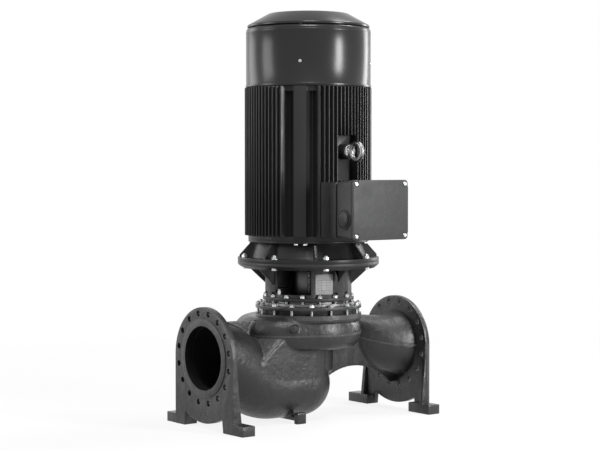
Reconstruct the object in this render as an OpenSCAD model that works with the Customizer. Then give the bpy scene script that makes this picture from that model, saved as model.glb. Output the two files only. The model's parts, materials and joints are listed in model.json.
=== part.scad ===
/* [Ports] */
// Distance between the faces of the two port flanges
port_span = 1400; // [1390:2:1460]
// Height of the port centre above the floor
port_height = 385; // [380:1:400]
// Bore of both ports
port_bore = 350; // [340:2:352]
// Outer diameter of the port flanges
flange_d = 555; // [545:1:570]
// Thickness of the port flanges
flange_t = 36; // [30:1:40]
// Bolt circle of the port flanges
port_pcd = 490; // [484:1:496]
// Number of bolts in a port flange
port_bolts = 16; // [12:4:20]
// Diameter of the bolt holes in the port flanges
port_hole_d = 33; // [26:1:34]
// Diameter of the raised sealing face
raised_d = 430; // [420:1:440]
// Height of the raised sealing face
raised_h = 4; // [2:1:5]

/* [Feet] */
// Distance over the outer ends of a pair of feet
foot_span = 730; // [700:2:760]
// Distance between the inner ends of a pair of feet
foot_gap = 374; // [360:2:380]
// Height of the feet
foot_h = 55; // [45:1:62]
// Depth of the feet along the pipe
foot_depth = 85; // [75:1:95]
// Spacing of the foundation holes across the pipe
foot_hole_span = 640; // [620:2:660]
// Diameter of the tapped foundation holes
foot_hole_d = 20; // [16:1:24]

/* [Casing] */
// Offset of the pump shaft from the middle between the flanges
pump_x = 22; // [16:1:28]
// Wall of the casting
wall = 14; // [12:0.5:15]
// Height of the volute's parting plane above the port centre
volute_rise = 105; // [100:1:108]
// Radius of the volute at its tongue
tongue_r = 297; // [294:1:300]
// Growth of the volute's radius from the tongue to the outlet
volute_growth = 132; // [120:1:132]
// Height of the volute above its parting plane
volute_up = 97; // [92:1:100]
// Depth of the volute below its parting plane
volute_down = 84; // [80:1:86]
// Half width of the suction chamber under the volute
chamber_half = 182; // [176:1:184]
// Height of the chamber's centreline above the floor
chamber_z = 203; // [200:1:210]
// Radius of the cover seat on top of the casing
seat_r = 300; // [298:1:306]
// Height of the cover seat above the volute's parting plane
seat_rise = 110; // [106:1:116]
// Radius of the opening for the impeller
mouth_r = 258; // [256:1:260]
// Thickness of the webs between the volute and the flanges
web_t = 20; // [16:1:24]

/* [Impeller] */
// Diameter of the impeller
impeller_d = 480; // [460:2:490]
// Radius of the impeller's eye
eye_r = 112; // [106:1:116]
// Number of impeller vanes
vanes = 7; // [5:1:8]
// Thickness of the vanes and shrouds
vane_t = 9; // [8:0.5:10]
// Angle that a vane wraps round the hub
vane_wrap = 110; // [90:5:130]
// Width of the impeller's outlet
outlet_w = 62; // [56:1:66]

/* [Cover and stool] */
// Radius of the bolt circle that holds the cover
cover_bolt_r = 285; // [282:0.5:287]
// Gap between the casing and the cover flange
cover_gap = 28; // [24:1:32]
// Thickness of the cover flange
cover_t = 19; // [16:1:24]
// Height of the cover's hub above its flange
hub_h = 27; // [25:1:32]
// Number of bolts in the cover and in the stool
ring_bolts = 16; // [12:4:16]
// Thread of the bolts in the cover and the stool
ring_bolt_d = 16; // [14:1:18]
// Radius of the bolt circle of the stool's foot
stool_bolt_r = 245; // [243:0.5:247]
// Radius of the stool's foot
stool_foot_r = 258; // [256:1:260]
// Thickness of the stool's foot
stool_foot_t = 20; // [16:1:24]
// Height of the stool
stool_h = 218; // [214:1:240]
// Outer radius of the stool's neck
neck_r = 245; // [243:1:247]
// Wall of the stool's neck
neck_t = 20; // [18:1:22]
// Thickness of the stool's gussets
gusset_t = 14; // [10:1:18]
// Angle that each stool window spans
window_angle = 52; // [40:1:56]

/* [Shaft line] */
// Diameter of the pump shaft
pump_shaft_d = 80; // [76:1:84]
// Diameter of the motor shaft's end
motor_shaft_d = 95; // [90:1:98]
// Diameter of the shaft coupling
coupling_d = 228; // [216:2:232]
// Length of the shaft coupling
coupling_l = 150; // [140:1:154]
// Slot between the halves of the coupling
coupling_slot = 6; // [4:0.5:10]

/* [Motor] */
// Diameter of the motor's flange
motor_flange_d = 800; // [790:2:810]
// Bolt circle of the motor's flange
motor_pcd = 740; // [736:1:744]
// Number of bolts in the motor's flange
motor_bolts = 8; // [8:8:8]
// Thread of the motor's flange bolts
motor_bolt_d = 20; // [18:1:22]
// Thickness of the motor's flange
motor_flange_t = 22; // [20:1:26]
// Height of the lower end shield above the motor's flange face
shield_h = 120; // [116:1:126]
// Length of the finned frame
frame_l = 852; // [820:2:900]
// Radius of the frame under the fins
frame_r = 300; // [296:1:304]
// Radius of the frame's bore
frame_bore_r = 265; // [262:1:268]
// Diameter over the tips of the fins
fin_d = 726; // [720:2:740]
// Thickness of a fin
fin_t = 6; // [4:0.5:8]
// Distance between the fins
fin_pitch = 24; // [22:0.5:26]
// Number of fins on each side of a fin group's centre
fins_half = 7; // [5:1:7]
// Width of the smooth pads between the fin groups
pad_w = 70; // [60:1:80]
// Number of rotor balls in the lower bearing
lower_balls = 8; // [7:1:9]
// Number of rotor balls in the upper bearing
upper_balls = 8; // [7:1:9]

/* [Fan end] */
// Diameter of the fan cover
cowl_d = 704; // [694:2:710]
// Length of the fan cover
cowl_l = 336; // [320:2:360]
// Wall of the fan cover
cowl_t = 4; // [3:0.5:6]
// Number of fan blades
fan_blades = 8; // [6:1:12]
// Radius of the fan
fan_r = 290; // [260:2:310]
// Radius of the rain canopy's rim
canopy_r = 345; // [330:1:350]
// Height of the rain canopy
canopy_h = 81; // [70:1:90]
// Gap between the fan cover and the canopy
canopy_gap = 9; // [6:1:14]

/* [Terminal box] */
// Width of the terminal box's lid
box_w = 383; // [370:1:390]
// Height of the terminal box's lid
box_h = 322; // [310:1:330]
// Depth of the terminal box without its lid
box_depth = 138; // [130:1:150]
// Thickness of the lid
lid_t = 17; // [12:1:20]
// Distance from the shaft to the back of the terminal box
box_y = 482; // [476:1:490]
// Height of the box's lower edge above the lower end of the frame
box_rise = 18; // [16:1:30]
// Radius of the cable entry
entry_r = 40; // [30:1:45]

/* [Hidden] */
eps = 1;
fit = 0.05;
joint_gap = 0.3;
round_fn = 96;
small_fn = 32;
cast_iron = "#3c4043";
dark_paint = "#2f3336";
steel = "#b9bdc0";
bronze = "#a8794a";
copper = "#b06a3c";
plastic = "#1f2123";

half_span = port_span / 2;
volute_z = port_height + volute_rise;
seat_z = volute_z + seat_rise;
cover_z = seat_z + cover_gap;
hub_z = cover_z + cover_t;
stool_z = hub_z + hub_h;
stool_foot_z = stool_z + stool_foot_t;
motor_z = stool_z + stool_h;
shield_top = motor_z + shield_h;
frame_top = shield_top + frame_l;
cowl_z = frame_top + 3;
cowl_top = cowl_z + cowl_l;
canopy_z = cowl_top + canopy_gap;
flange_back = half_span - flange_t;

// Smooth curve through four control points, and its direction
function bezier(p, t) = p[0] * pow(1 - t, 3) + 3 * p[1] * t * pow(1 - t, 2)
    + 3 * p[2] * t * t * (1 - t) + p[3] * pow(t, 3);
function bezier_dir(p, t) = (p[1] - p[0]) * pow(1 - t, 2) + 2 * (p[2] - p[1]) * t * (1 - t)
    + (p[3] - p[2]) * t * t;
function unit(v) = v / norm(v);
function polar(r, a) = [r * cos(a), r * sin(a)];

// A ring of n points round centre c, square to direction d
function ring(c, d, r, n) =
    let (u = unit(d), side = unit([-u[1], u[0], 0]), up = cross(u, side))
    [for (i = [0:n - 1]) c + r * (cos(360 * i / n) * side + sin(360 * i / n) * up)];

// Closed skin over a list of rings with the same number of points
module skin(rings) {
    n = len(rings[0]);
    m = len(rings);
    points = [for (r = rings) each r];
    sides = [for (i = [0:m - 2], j = [0:n - 1])
        let (a = i * n + j, b = i * n + (j + 1) % n)
        each [[a, b + n, b], [a, a + n, b + n]]];
    first = [for (j = [0:n - 1]) j];
    last = [for (j = [0:n - 1]) (m - 1) * n + n - 1 - j];
    polyhedron(points, concat([first, last], sides), convexity = 6);
}

// Places children on the shaft line at height z
module on_shaft(z = 0) {
    translate([pump_x, 0, z]) children();
}

// Repeats children n times round the shaft line at radius r
module around(n, r, start = 0) {
    for (i = [0:n - 1]) {
        rotate(start + 360 * i / n) translate([r, 0, 0]) children();
    }
}

// Ring with a bore
module tube(outer, inner, h, fn = round_fn) {
    difference() {
        cylinder(r = outer, h = h, $fn = fn);
        translate([0, 0, -eps]) cylinder(r = inner, h = h + 2 * eps, $fn = fn);
    }
}

// Solid of revolution from a list of radius and height pairs
module turned(profile, fn = round_fn) {
    rotate_extrude($fn = fn) polygon(profile);
}

// Hexagon for thread size d, by the usual proportions
function across_flats(d) = 1.5 * d;
function nut_h(d) = 0.8 * d;
function head_h(d) = 0.65 * d;

module hexagon(d, h) {
    cylinder(r = across_flats(d) / 2 / cos(30), h = h, $fn = 6);
}

module nut(d) {
    difference() {
        hexagon(d, nut_h(d));
        translate([0, 0, -eps]) cylinder(d = d + 2 * fit, h = nut_h(d) + 2 * eps, $fn = small_fn);
    }
}

// Bolt with its head's seat at z = 0 and its shank going down
module hex_bolt(d, l) {
    hexagon(d, head_h(d));
    translate([0, 0, -l]) cylinder(d = d, h = l, $fn = small_fn);
}

// Pump casing: the passages are lofts, the fits and flanges are turned and drilled

tongue_a = 327;
outlet_turn = 274;
fade_turn = 56;
swell_turn = 85;
swell_span = 70;
lip_out = 3;
lip_h = 10;
duct_start_r = tongue_r + volute_growth - 84;
duct_start_h = 80;
duct_end_h = port_bore / 2 + wall + 8;
duct_lift = 5;
duct_reach = 190;
duct_a = tongue_a - outlet_turn;
pipe_end_h = chamber_half + 4;
pipe_turn = 180;
pipe_end_x = -250;
bend_dip = 14;
roof_x = -442;
roof_run = 186;
roof_low_z = 326;
roof_high_z = volute_z - 15;
cheek_x = -346;
riser_z = chamber_z + 20;
riser_cone = 50;
chamber_end_x = -55;
floor_t = 18;
riser_r = eye_r + wall + 14;
ring_seat_r = eye_r + 22;
seat_depth = 40;
liner_gap = 3;
liner_r = port_bore / 2 - liner_gap;
bore_l = 50;

duct_path = let (start = polar(duct_start_r, duct_a), aim = polar(duct_reach, duct_a - 90))
    [[pump_x + start[0], start[1], volute_z + duct_lift],
     [pump_x + start[0] + aim[0], start[1] + aim[1], volute_z + duct_lift],
     [flange_back - 170, 0, port_height],
     [flange_back, 0, port_height]];
pipe_path = [[-flange_back, 0, port_height],
    [-flange_back + pipe_turn, 0, port_height],
    [pipe_end_x - pipe_turn, 0, chamber_z],
    [pipe_end_x, 0, chamber_z]];

// Soft step from 0 to 1
function soft_step(u) = let (c = min(max(u, 0), 1)) c * c * (3 - 2 * c);

// Share of the volute's growth at turn t past the tongue; it swells where the second passage starts
function growth(t) = t < outlet_turn ? 0.9 * soft_step((t - swell_turn) / swell_span) + 0.1 * t / outlet_turn
    : t > outlet_turn + fade_turn ? 0 : pow(cos((t - outlet_turn) / fade_turn * 90), 2);

// Level outline of the volute at a given angle of its rounded rim
function rim(level, inset, n) =
    let (h = (level > 0 ? volute_up : volute_down) - inset)
    [for (i = [0:n - 1])
        let (t = 360 * i / n, g = growth(t), r = tongue_r + volute_growth * g - inset,
            soft = 56 + 34 * g - inset, p = polar(r - soft * (1 - cos(level)), tongue_a - t))
        [pump_x + p[0], p[1], volute_z + h * sin(level)]];

module volute(inset, n, steps) {
    skin([for (k = [steps:-1:-steps]) rim(90 * k / steps, inset, n)]);
}

// Raised lip of the casting where the two halves of its mould met
module parting_lip() {
    translate([0, 0, volute_z - lip_h / 2]) linear_extrude(lip_h)
        polygon([for (p = rim(0, -lip_out, 48)) [p[0], p[1]]]);
}

module duct(r_start, r_end, n, steps) {
    skin([for (k = [0:steps])
        ring(bezier(duct_path, k / steps), bezier_dir(duct_path, k / steps),
            r_start + (r_end - r_start) * pow(k / steps, 1.5), n)]);
}

module suction(r_start, r_end, n, steps) {
    dome = 4;
    skin(concat(
        [for (k = [0:steps])
            ring(bezier(pipe_path, k / steps), bezier_dir(pipe_path, k / steps),
                r_start + (r_end - r_start) * k / steps - bend_dip * sin(180 * k / steps), n)],
        [for (k = [0:dome])
            ring([chamber_end_x + (r_end - dome) * sin(80 * k / dome), 0, chamber_z], [1, 0, 0],
                r_end * cos(80 * k / dome), n)]));
}

// Upright sides of the suction chamber, with a sloping roof towards the flange
module chamber(inset, top) {
    half = chamber_half - inset;
    roof_low = [roof_x + inset * 2, roof_low_z];
    roof_high = [roof_x + roof_run + inset * 2, roof_high_z];
    intersection() {
        translate([0, half, 0]) rotate([90, 0, 0]) linear_extrude(2 * half)
            polygon([roof_low, roof_high, [pump_x, roof_high_z], [pump_x, chamber_z],
                [pipe_end_x, chamber_z], [cheek_x + inset, chamber_z + 27]]);
        union() {
            translate([chamber_end_x, 0, chamber_z - foot_h])
                cylinder(r = half - 2, h = top - chamber_z + foot_h, $fn = round_fn);
            translate([chamber_end_x - flange_back, -half - eps, chamber_z - foot_h])
                cube([flange_back, 2 * (half + eps), top - chamber_z + foot_h]);
        }
    }
}

// Round riser from the suction chamber up to the impeller's eye
module riser(inset, top) {
    on_shaft() turned([[0, riser_z + inset / 2], [riser_r - riser_cone - inset, riser_z + inset / 2],
        [riser_r - inset, riser_z + riser_cone + inset / 2], [riser_r - inset, top], [0, top]]);
}

// Port flange with the arched plate below it, its inner face at x = 0, growing along +X
belly_r = 354;
rib_top = 310;
rib_t = 24;
rib_flare = 28;

module port_plate() {
    difference() {
        translate([0, 0, port_height]) rotate([90, 0, 90]) linear_extrude(flange_t - raised_h) {
            difference() {
                union() {
                    circle(d = flange_d, $fn = round_fn);
                    translate([-flange_d / 2, -port_height]) square([flange_d, port_height]);
                }
                difference() {
                    translate([-foot_gap / 2, -port_height - eps])
                        square([foot_gap, port_height]);
                    circle(r = belly_r, $fn = round_fn);
                }
            }
        }
        translate([-eps, 0, port_height]) rotate([0, 90, 0])
            around(port_bolts, port_pcd / 2, 180 / port_bolts)
                cylinder(d = port_hole_d, h = flange_t + 2 * eps, $fn = small_fn);
    }
    translate([flange_t - raised_h - eps, 0, port_height]) rotate([0, 90, 0])
        cylinder(d = raised_d, h = raised_h + eps, $fn = round_fn);
    for (side = [-1, 1]) {
        foot(side);
        side_rib(side);
    }
}

module foot(side) {
    translate([flange_t - raised_h - foot_depth, side > 0 ? foot_gap / 2 : -foot_span / 2, 0])
        cube([foot_depth, (foot_span - foot_gap) / 2, foot_h]);
}

module side_rib(side) {
    outer = flange_d / 2;
    translate([0, side > 0 ? outer : -outer + rib_t, 0]) rotate([90, 0, 0])
        linear_extrude(rib_t)
            polygon([[eps, rib_top], [-rib_flare, foot_h], [-rib_flare, foot_h - eps],
                [eps, foot_h - eps]]);
}

// Holes of one pair of feet, drilled from the floor
module foot_holes() {
    for (side = [-1, 1]) {
        translate([flange_t - raised_h - foot_depth / 2, side * foot_hole_span / 2, -eps])
            cylinder(d = foot_hole_d, h = foot_h - 12 + eps, $fn = small_fn);
    }
}

lug_x = -169;
lug_y = 175;
lug_size = [62, 34, 64];
arch_x = 345;
arch_r = 377;
arch_z = -108;
boss_a = 219;
boss_r = 22;
boss_end = tongue_r + volute_growth * growth(tongue_a - boss_a) + 10;

module webs() {
    web_top = volute_z + 86;
    translate([0, web_t / 2, 0]) rotate([90, 0, 0]) linear_extrude(web_t) {
        polygon([[-flange_back - eps, port_height], [-flange_back - eps, web_top],
            [-tongue_r, web_top], [-tongue_r, port_height]]);
        difference() {
            translate([pump_x, chamber_z - 50])
                square([flange_back - pump_x + eps, port_height - chamber_z + 80]);
            translate([arch_x, arch_z]) circle(r = arch_r, $fn = 128);
        }
    }
}

module lugs() {
    for (side = [-1, 1]) {
        translate([lug_x - lug_size[0] / 2, side * lug_y - lug_size[1] / 2, 0]) cube(lug_size);
    }
    translate([lug_x - web_t / 2, -lug_y, chamber_z - pipe_end_h - 2])
        cube([web_t, 2 * lug_y, 60]);
}

module casing_bosses() {
    on_shaft(volute_z + 42) rotate([0, 90, boss_a]) cylinder(r = boss_r, h = boss_end, $fn = small_fn);
    translate([chamber_end_x, 0, chamber_z]) rotate([-90, 0, 0])
        cylinder(r = boss_r, h = chamber_half + 12, $fn = small_fn);
}

plug_d = 20;

module casing_boss_holes() {
    on_shaft(volute_z + 42) rotate([0, 90, boss_a]) translate([0, 0, mouth_r - 10])
        cylinder(d = plug_d + 2 * fit, h = 100, $fn = small_fn);
    translate([chamber_end_x, 0, chamber_z]) rotate([-90, 0, 0]) translate([0, 0, chamber_half - 30])
        cylinder(d = plug_d + 2 * fit, h = 60, $fn = small_fn);
}

module pump_casing() color(cast_iron) difference() {
    union() {
        volute(0, 48, 4);
        duct(duct_start_h, duct_end_h, 28, 8);
        suction(duct_end_h + 3, pipe_end_h, 32, 8);
        chamber(0, volute_z);
        riser(0, volute_z);
        parting_lip();
        on_shaft(volute_z + 70) cylinder(r = seat_r, h = seat_rise - 70, $fn = round_fn);
        translate([flange_back, 0, 0]) port_plate();
        mirror([1, 0, 0]) translate([flange_back, 0, 0]) port_plate();
        webs();
        lugs();
        casing_bosses();
    }
    volute(wall, 40, 3);
    duct(duct_start_h - wall, liner_r, 24, 8);
    suction(liner_r, pipe_end_h - wall - 4, 24, 8);
    chamber(wall + 2, volute_z - volute_down - floor_t);
    riser(wall, volute_z - volute_down - floor_t);
    on_shaft(riser_z + riser_cone + wall) cylinder(r = ring_seat_r - 10, h = volute_z - riser_z, $fn = round_fn);
    on_shaft(volute_z - volute_down - 4) cylinder(r = ring_seat_r, h = volute_down, $fn = round_fn);
    on_shaft(volute_z - volute_down + wall) cylinder(r = mouth_r, h = 400, $fn = round_fn);
    on_shaft(seat_z - seat_depth + eps) around(ring_bolts, cover_bolt_r, 180 / ring_bolts)
        cylinder(d = ring_bolt_d + 2 * fit, h = seat_depth, $fn = small_fn);
    for (side = [-1, 1]) {
        translate([side * (half_span - bore_l / 2 + eps), 0, port_height]) rotate([0, 90, 0])
            cylinder(d = port_bore, h = bore_l + 2 * eps, center = true, $fn = round_fn);
    }
    translate([flange_back, 0, 0]) foot_holes();
    mirror([1, 0, 0]) translate([flange_back, 0, 0]) foot_holes();
    casing_boss_holes();
}

module casing_plugs() color(steel) {
    on_shaft(volute_z + 42) rotate([0, 90, boss_a]) translate([0, 0, boss_end])
        rotate(180) hex_bolt(plug_d, 24);
    translate([chamber_end_x, 0, chamber_z]) rotate([-90, 0, 0]) translate([0, 0, chamber_half + 12])
        hex_bolt(plug_d, 24);
}

// Wear ring in the casing, round the impeller's neck
ring_z = volute_z - volute_down - 4;
ring_h = 26;
impeller_neck_r = eye_r + 11;
ring_clear = 0.4;

module wear_ring() color(bronze) on_shaft(ring_z) tube(ring_seat_r - fit, impeller_neck_r + ring_clear, ring_h);

// Cover: spigot, lobed hub and seal chamber in one casting
spigot_h = 28;
shoulder_r = seat_r - 28;
lobe_r = 262;
hub_r = 232;
seal_bore_r = 64;
throat_r = pump_shaft_d / 2 + 2;
throat_h = 18;
groove_z = seat_z - 16;
groove_w = 6;
groove_d = 5;
lobe_h = hub_h - 12;
scallop_r = 25;

module casing_cover() color(cast_iron) difference() {
    on_shaft() turned([[throat_r, seat_z - spigot_h], [mouth_r - joint_gap, seat_z - spigot_h],
        [mouth_r - joint_gap, groove_z], [mouth_r - groove_d, groove_z],
        [mouth_r - groove_d, groove_z + groove_w], [mouth_r - joint_gap, groove_z + groove_w],
        [mouth_r - joint_gap, seat_z], [shoulder_r, seat_z], [shoulder_r, cover_z], [seat_r, cover_z],
        [seat_r, hub_z], [lobe_r, hub_z], [lobe_r, hub_z + lobe_h], [hub_r, hub_z + lobe_h],
        [hub_r, stool_z], [seal_bore_r, stool_z], [seal_bore_r, seat_z - spigot_h + throat_h],
        [throat_r, seat_z - spigot_h + throat_h]]);
    on_shaft(cover_z - eps) around(ring_bolts, cover_bolt_r, 180 / ring_bolts)
        cylinder(d = ring_bolt_d + 2, h = cover_t + 2 * eps, $fn = small_fn);
    on_shaft(hub_z) around(ring_bolts, cover_bolt_r, 180 / ring_bolts)
        cylinder(r = scallop_r, h = hub_h, $fn = small_fn);
    on_shaft(hub_z - 8) around(ring_bolts, stool_bolt_r)
        cylinder(d = ring_bolt_d + 2 * fit, h = hub_h, $fn = small_fn);
    on_shaft(stool_z - 20) around(gland_screw_n, gland_screw_r)
        cylinder(d = gland_screw_d + 2 * fit, h = 20 + eps, $fn = small_fn);
}

module cover_o_ring() color(plastic) on_shaft(groove_z + groove_w / 2) rotate_extrude($fn = round_fn)
    translate([mouth_r - groove_d + 2.45, 0]) circle(r = 2.4, $fn = small_fn);

module cover_studs() color(steel) {
    bottom = seat_z - seat_depth + 2;
    on_shaft(bottom) around(ring_bolts, cover_bolt_r, 180 / ring_bolts)
        cylinder(d = ring_bolt_d, h = hub_z + nut_h(ring_bolt_d) + 5 - bottom, $fn = small_fn);
}

module cover_nuts() color(steel) on_shaft(hub_z) around(ring_bolts, cover_bolt_r, 180 / ring_bolts)
    nut(ring_bolt_d);

// Mechanical seal and its gland on top of the cover
gland_t = 12;
gland_r = 96;
gland_screw_n = 4;
gland_screw_r = 80;
gland_screw_d = 10;
seat_ring_h = 16;

module seal_gland() color(steel) on_shaft(stool_z) difference() {
    union() {
        cylinder(r = gland_r, h = gland_t, $fn = round_fn);
        translate([0, 0, -20]) cylinder(r = seal_bore_r - joint_gap, h = 20 + eps, $fn = round_fn);
    }
    translate([0, 0, -20 - eps]) cylinder(r = throat_r + 2, h = 80, $fn = round_fn);
    translate([0, 0, -20 - eps]) cylinder(r = seal_bore_r - 6, h = seat_ring_h + eps, $fn = round_fn);
    translate([0, 0, -eps]) around(gland_screw_n, gland_screw_r)
        cylinder(d = gland_screw_d + 1, h = gland_t + 2 * eps, $fn = small_fn);
}

module gland_screws() color(steel) on_shaft(stool_z + gland_t) around(gland_screw_n, gland_screw_r)
    hex_bolt(gland_screw_d, gland_t + 16);

module seal_seat() color("#d9d4c4") on_shaft(stool_z - 20)
    tube(seal_bore_r - 6 - joint_gap, throat_r + 1, seat_ring_h - joint_gap);

// Motor stool: neck, foot, head flange, gussets, windows and the flat for the plate
head_t = 37;
recess_r = 340;
recess_h = 6;
gusset_low = 90;
gusset_out = 345;
head_chamfer_r = 375;
stool_bore_r = 200;
base_wall = 33;
base_h = 31;
pocket_r = 19;
pocket_h = 28;
window_z = stool_foot_z + 18;
window_h = motor_z - head_t - window_z - 5;
window_mid = 210;
spot_r = 20;
spot_h = 11;
plate_a = 254.5;
flat_r = 233;

module stool_gussets() {
    for (i = [0:7]) {
        rotate(45 * i) translate([0, gusset_t / 2, 0]) rotate([90, 0, 0]) linear_extrude(gusset_t)
            polygon([[neck_r - neck_t / 2, stool_z + gusset_low], [neck_r + 2, stool_z + gusset_low],
                [gusset_out, motor_z - head_t], [gusset_out, motor_z - head_t + eps],
                [neck_r - neck_t / 2, motor_z - head_t + eps]]);
    }
}

module window(mid) {
    reach = stool_foot_r + head_chamfer_r;
    rotate(mid) linear_extrude(window_h)
        polygon([[0, 0], polar(reach, -window_angle / 2), [reach, 0], polar(reach, window_angle / 2)]);
}

module motor_stool() color(cast_iron) on_shaft() difference() {
    union() {
        turned([[stool_bore_r, stool_z], [stool_foot_r, stool_z], [stool_foot_r, stool_foot_z],
            [neck_r, stool_foot_z], [neck_r, motor_z - head_t], [head_chamfer_r, motor_z - head_t],
            [motor_flange_d / 2 - 4, motor_z - 20], [motor_flange_d / 2, motor_z - 16],
            [motor_flange_d / 2, motor_z], [recess_r, motor_z], [recess_r, motor_z - recess_h],
            [neck_r - neck_t, motor_z - recess_h], [neck_r - neck_t, stool_foot_z + base_h],
            [neck_r - base_wall, stool_foot_z + base_h], [neck_r - base_wall, stool_z + 8],
            [stool_bore_r, stool_z + 8]]);
        stool_gussets();
        rotate(plate_a) translate([neck_r - base_wall, -62, stool_foot_z])
            cube([flat_r - neck_r + base_wall, 124, window_h + 18]);
    }
    rotate(plate_a) translate([flat_r, -76, stool_foot_z]) cube([40, 152, window_h + 19]);
    translate([0, 0, window_z]) {
        window(window_mid);
        window(window_mid - 180);
    }
    translate([0, 0, stool_foot_z]) around(ring_bolts, stool_bolt_r)
        cylinder(r = pocket_r, h = pocket_h, $fn = small_fn);
    translate([0, 0, stool_z - eps]) around(ring_bolts, stool_bolt_r)
        cylinder(d = ring_bolt_d + 2, h = stool_foot_t + 2 * eps, $fn = small_fn);
    translate([0, 0, motor_z - head_t - eps]) around(motor_bolts, motor_pcd / 2, 22.5)
        cylinder(d = motor_bolt_d + 4, h = head_t + 2 * eps, $fn = small_fn);
    translate([0, 0, motor_z - head_t - eps]) around(motor_bolts, motor_pcd / 2, 22.5)
        cylinder(r = spot_r, h = spot_h + eps, $fn = small_fn);
    rotate(vent_a) translate([vent_r, 0, window_z - 10])
        cylinder(r = 5 + fit, h = 20, $fn = small_fn);
}

module stool_studs() color(steel) on_shaft(hub_z - 6) around(ring_bolts, stool_bolt_r)
    cylinder(d = ring_bolt_d, h = stool_foot_z - hub_z + 6 + nut_h(ring_bolt_d) + 5, $fn = small_fn);

module stool_nuts() color(steel) on_shaft(stool_foot_z) around(ring_bolts, stool_bolt_r)
    nut(ring_bolt_d);

// Blank plate on the stool's flat
plate_w = 104;
plate_h = 112;
plate_t = 1.5;

module nameplate() color("#c9cbc8") on_shaft() rotate(plate_a) translate([flat_r, -plate_w / 2, stool_foot_z + 20])
    cube([plate_t, plate_w, plate_h]);

// Air vent on the window sill: a body and a screw that opens it
vent_a = 189;
vent_r = 235;
vent_h = 20;

module vent_body() color(steel) on_shaft(window_z) rotate(vent_a) translate([vent_r, 0, 0]) difference() {
    union() {
        cylinder(r = 9, h = vent_h, $fn = small_fn);
        translate([0, 0, -9]) cylinder(r = 5, h = 9 + eps, $fn = small_fn);
    }
    translate([0, 0, 6]) cylinder(r = 4 + fit, h = vent_h, $fn = small_fn);
}

module vent_screw() color(bronze) on_shaft(window_z) rotate(vent_a) translate([vent_r, 0, 0]) {
    translate([0, 0, 8]) cylinder(r = 4, h = vent_h, $fn = small_fn);
    translate([0, 0, vent_h + joint_gap]) hexagon(9, 8);
}

// Shaft line heights
shaft_meet = motor_z - 122;
coupling_z = shaft_meet - coupling_l / 2 + 2;
motor_shaft_r = motor_shaft_d / 2;
pump_shaft_r = pump_shaft_d / 2;
hub_plate_z = volute_z + outlet_w / 2;
hub_boss_r = 62;
impeller_bore_r = 30;
nut_z = hub_plate_z - 62;

module pump_shaft() color(steel) on_shaft() difference() {
    union() {
        translate([0, 0, nut_z - 24]) cylinder(r = impeller_bore_r - 6, h = 26, $fn = small_fn * 2);
        translate([0, 0, nut_z]) cylinder(r = impeller_bore_r, h = hub_plate_z + vane_t - nut_z + eps, $fn = small_fn * 2);
        translate([0, 0, hub_plate_z + vane_t + 8]) cylinder(r = pump_shaft_r, h = shaft_meet - 2 - hub_plate_z - vane_t - 8, $fn = small_fn * 2);
        translate([0, 0, hub_plate_z + vane_t]) cylinder(r = pump_shaft_r - 2, h = 8 + eps, $fn = small_fn * 2);
    }
    rotate(-90) translate([impeller_bore_r - 5, -8, nut_z - eps]) cube([20, 16, 61]);
}

module impeller_key() color(steel) on_shaft() rotate(-90)
    translate([impeller_bore_r - 5, -8 + fit, nut_z]) cube([9, 16 - 2 * fit, 60 - fit]);

// Closed impeller: back plate with hub, front shroud with neck, and curved vanes
function vane_line(k, off) =
    let (u = k / 12, r = eye_r * 0.82 * pow(impeller_d / 2 / (eye_r * 0.82), u))
    polar(r, -vane_wrap * u + off / r * 180 / PI);

module vane() {
    linear_extrude(outlet_w + 56)
        polygon(concat([for (k = [0:12]) vane_line(k, vane_t / 2)],
            [for (k = [12:-1:0]) vane_line(k, -vane_t / 2)]));
}

module impeller() color(bronze) on_shaft() difference() {
    union() {
        turned([[impeller_bore_r + fit, nut_z], [hub_boss_r - 14, nut_z], [hub_boss_r - 6, hub_plate_z - 24],
            [hub_boss_r + 24, hub_plate_z - 4], [impeller_d / 2, hub_plate_z],
            [impeller_d / 2, hub_plate_z + vane_t], [impeller_bore_r + fit, hub_plate_z + vane_t]]);
        turned([[eye_r, ring_z + 1], [impeller_neck_r, ring_z + 1], [impeller_neck_r, ring_z + ring_h + 4],
            [impeller_neck_r + 12, ring_z + ring_h + 9], [impeller_d / 2, volute_z - outlet_w / 2 - vane_t],
            [impeller_d / 2, volute_z - outlet_w / 2], [eye_r + 12, ring_z + ring_h + 22],
            [eye_r, ring_z + ring_h + 10]]);
        intersection() {
            turned([[hub_boss_r - 16, hub_plate_z + 2], [impeller_d / 2, hub_plate_z + 2],
                [impeller_d / 2, volute_z - outlet_w / 2 - 2], [eye_r + 14, ring_z + ring_h + 18],
                [eye_r + 1, ring_z + ring_h + 6], [hub_boss_r + 10, hub_plate_z - 26]]);
            translate([0, 0, volute_z - outlet_w / 2 - 40]) {
                for (i = [0:vanes - 1]) {
                    rotate(360 * i / vanes) vane();
                }
            }
        }
    }
    rotate(-90) translate([impeller_bore_r - 5, -8, nut_z - eps]) cube([9 + fit, 16, 100]);
}

module impeller_nut() color(steel) on_shaft(nut_z - 22) difference() {
    turned([[0, 0], [20, 0], [38, 12], [38, 22], [0, 22]], small_fn * 2);
    cylinder(r = impeller_bore_r - 6 + fit, h = 30, $fn = small_fn * 2);
}

head_z = stool_z - 20 - 58;

module seal_head() color(steel) on_shaft(head_z) tube(seal_bore_r - 8, pump_shaft_r + fit, 40);

module seal_spring() color(steel) on_shaft(head_z + 40) tube(seal_bore_r - 10, pump_shaft_r + fit, 18 - joint_gap);

// Rigid coupling in two halves, clamped by cross screws
clamp_n = 4;
clamp_y = 78;
clamp_d = 14;
clamp_pitch = coupling_l / clamp_n;
clamp_seat = 36;
clamp_reach = 30;
slot_a = 233;

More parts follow.
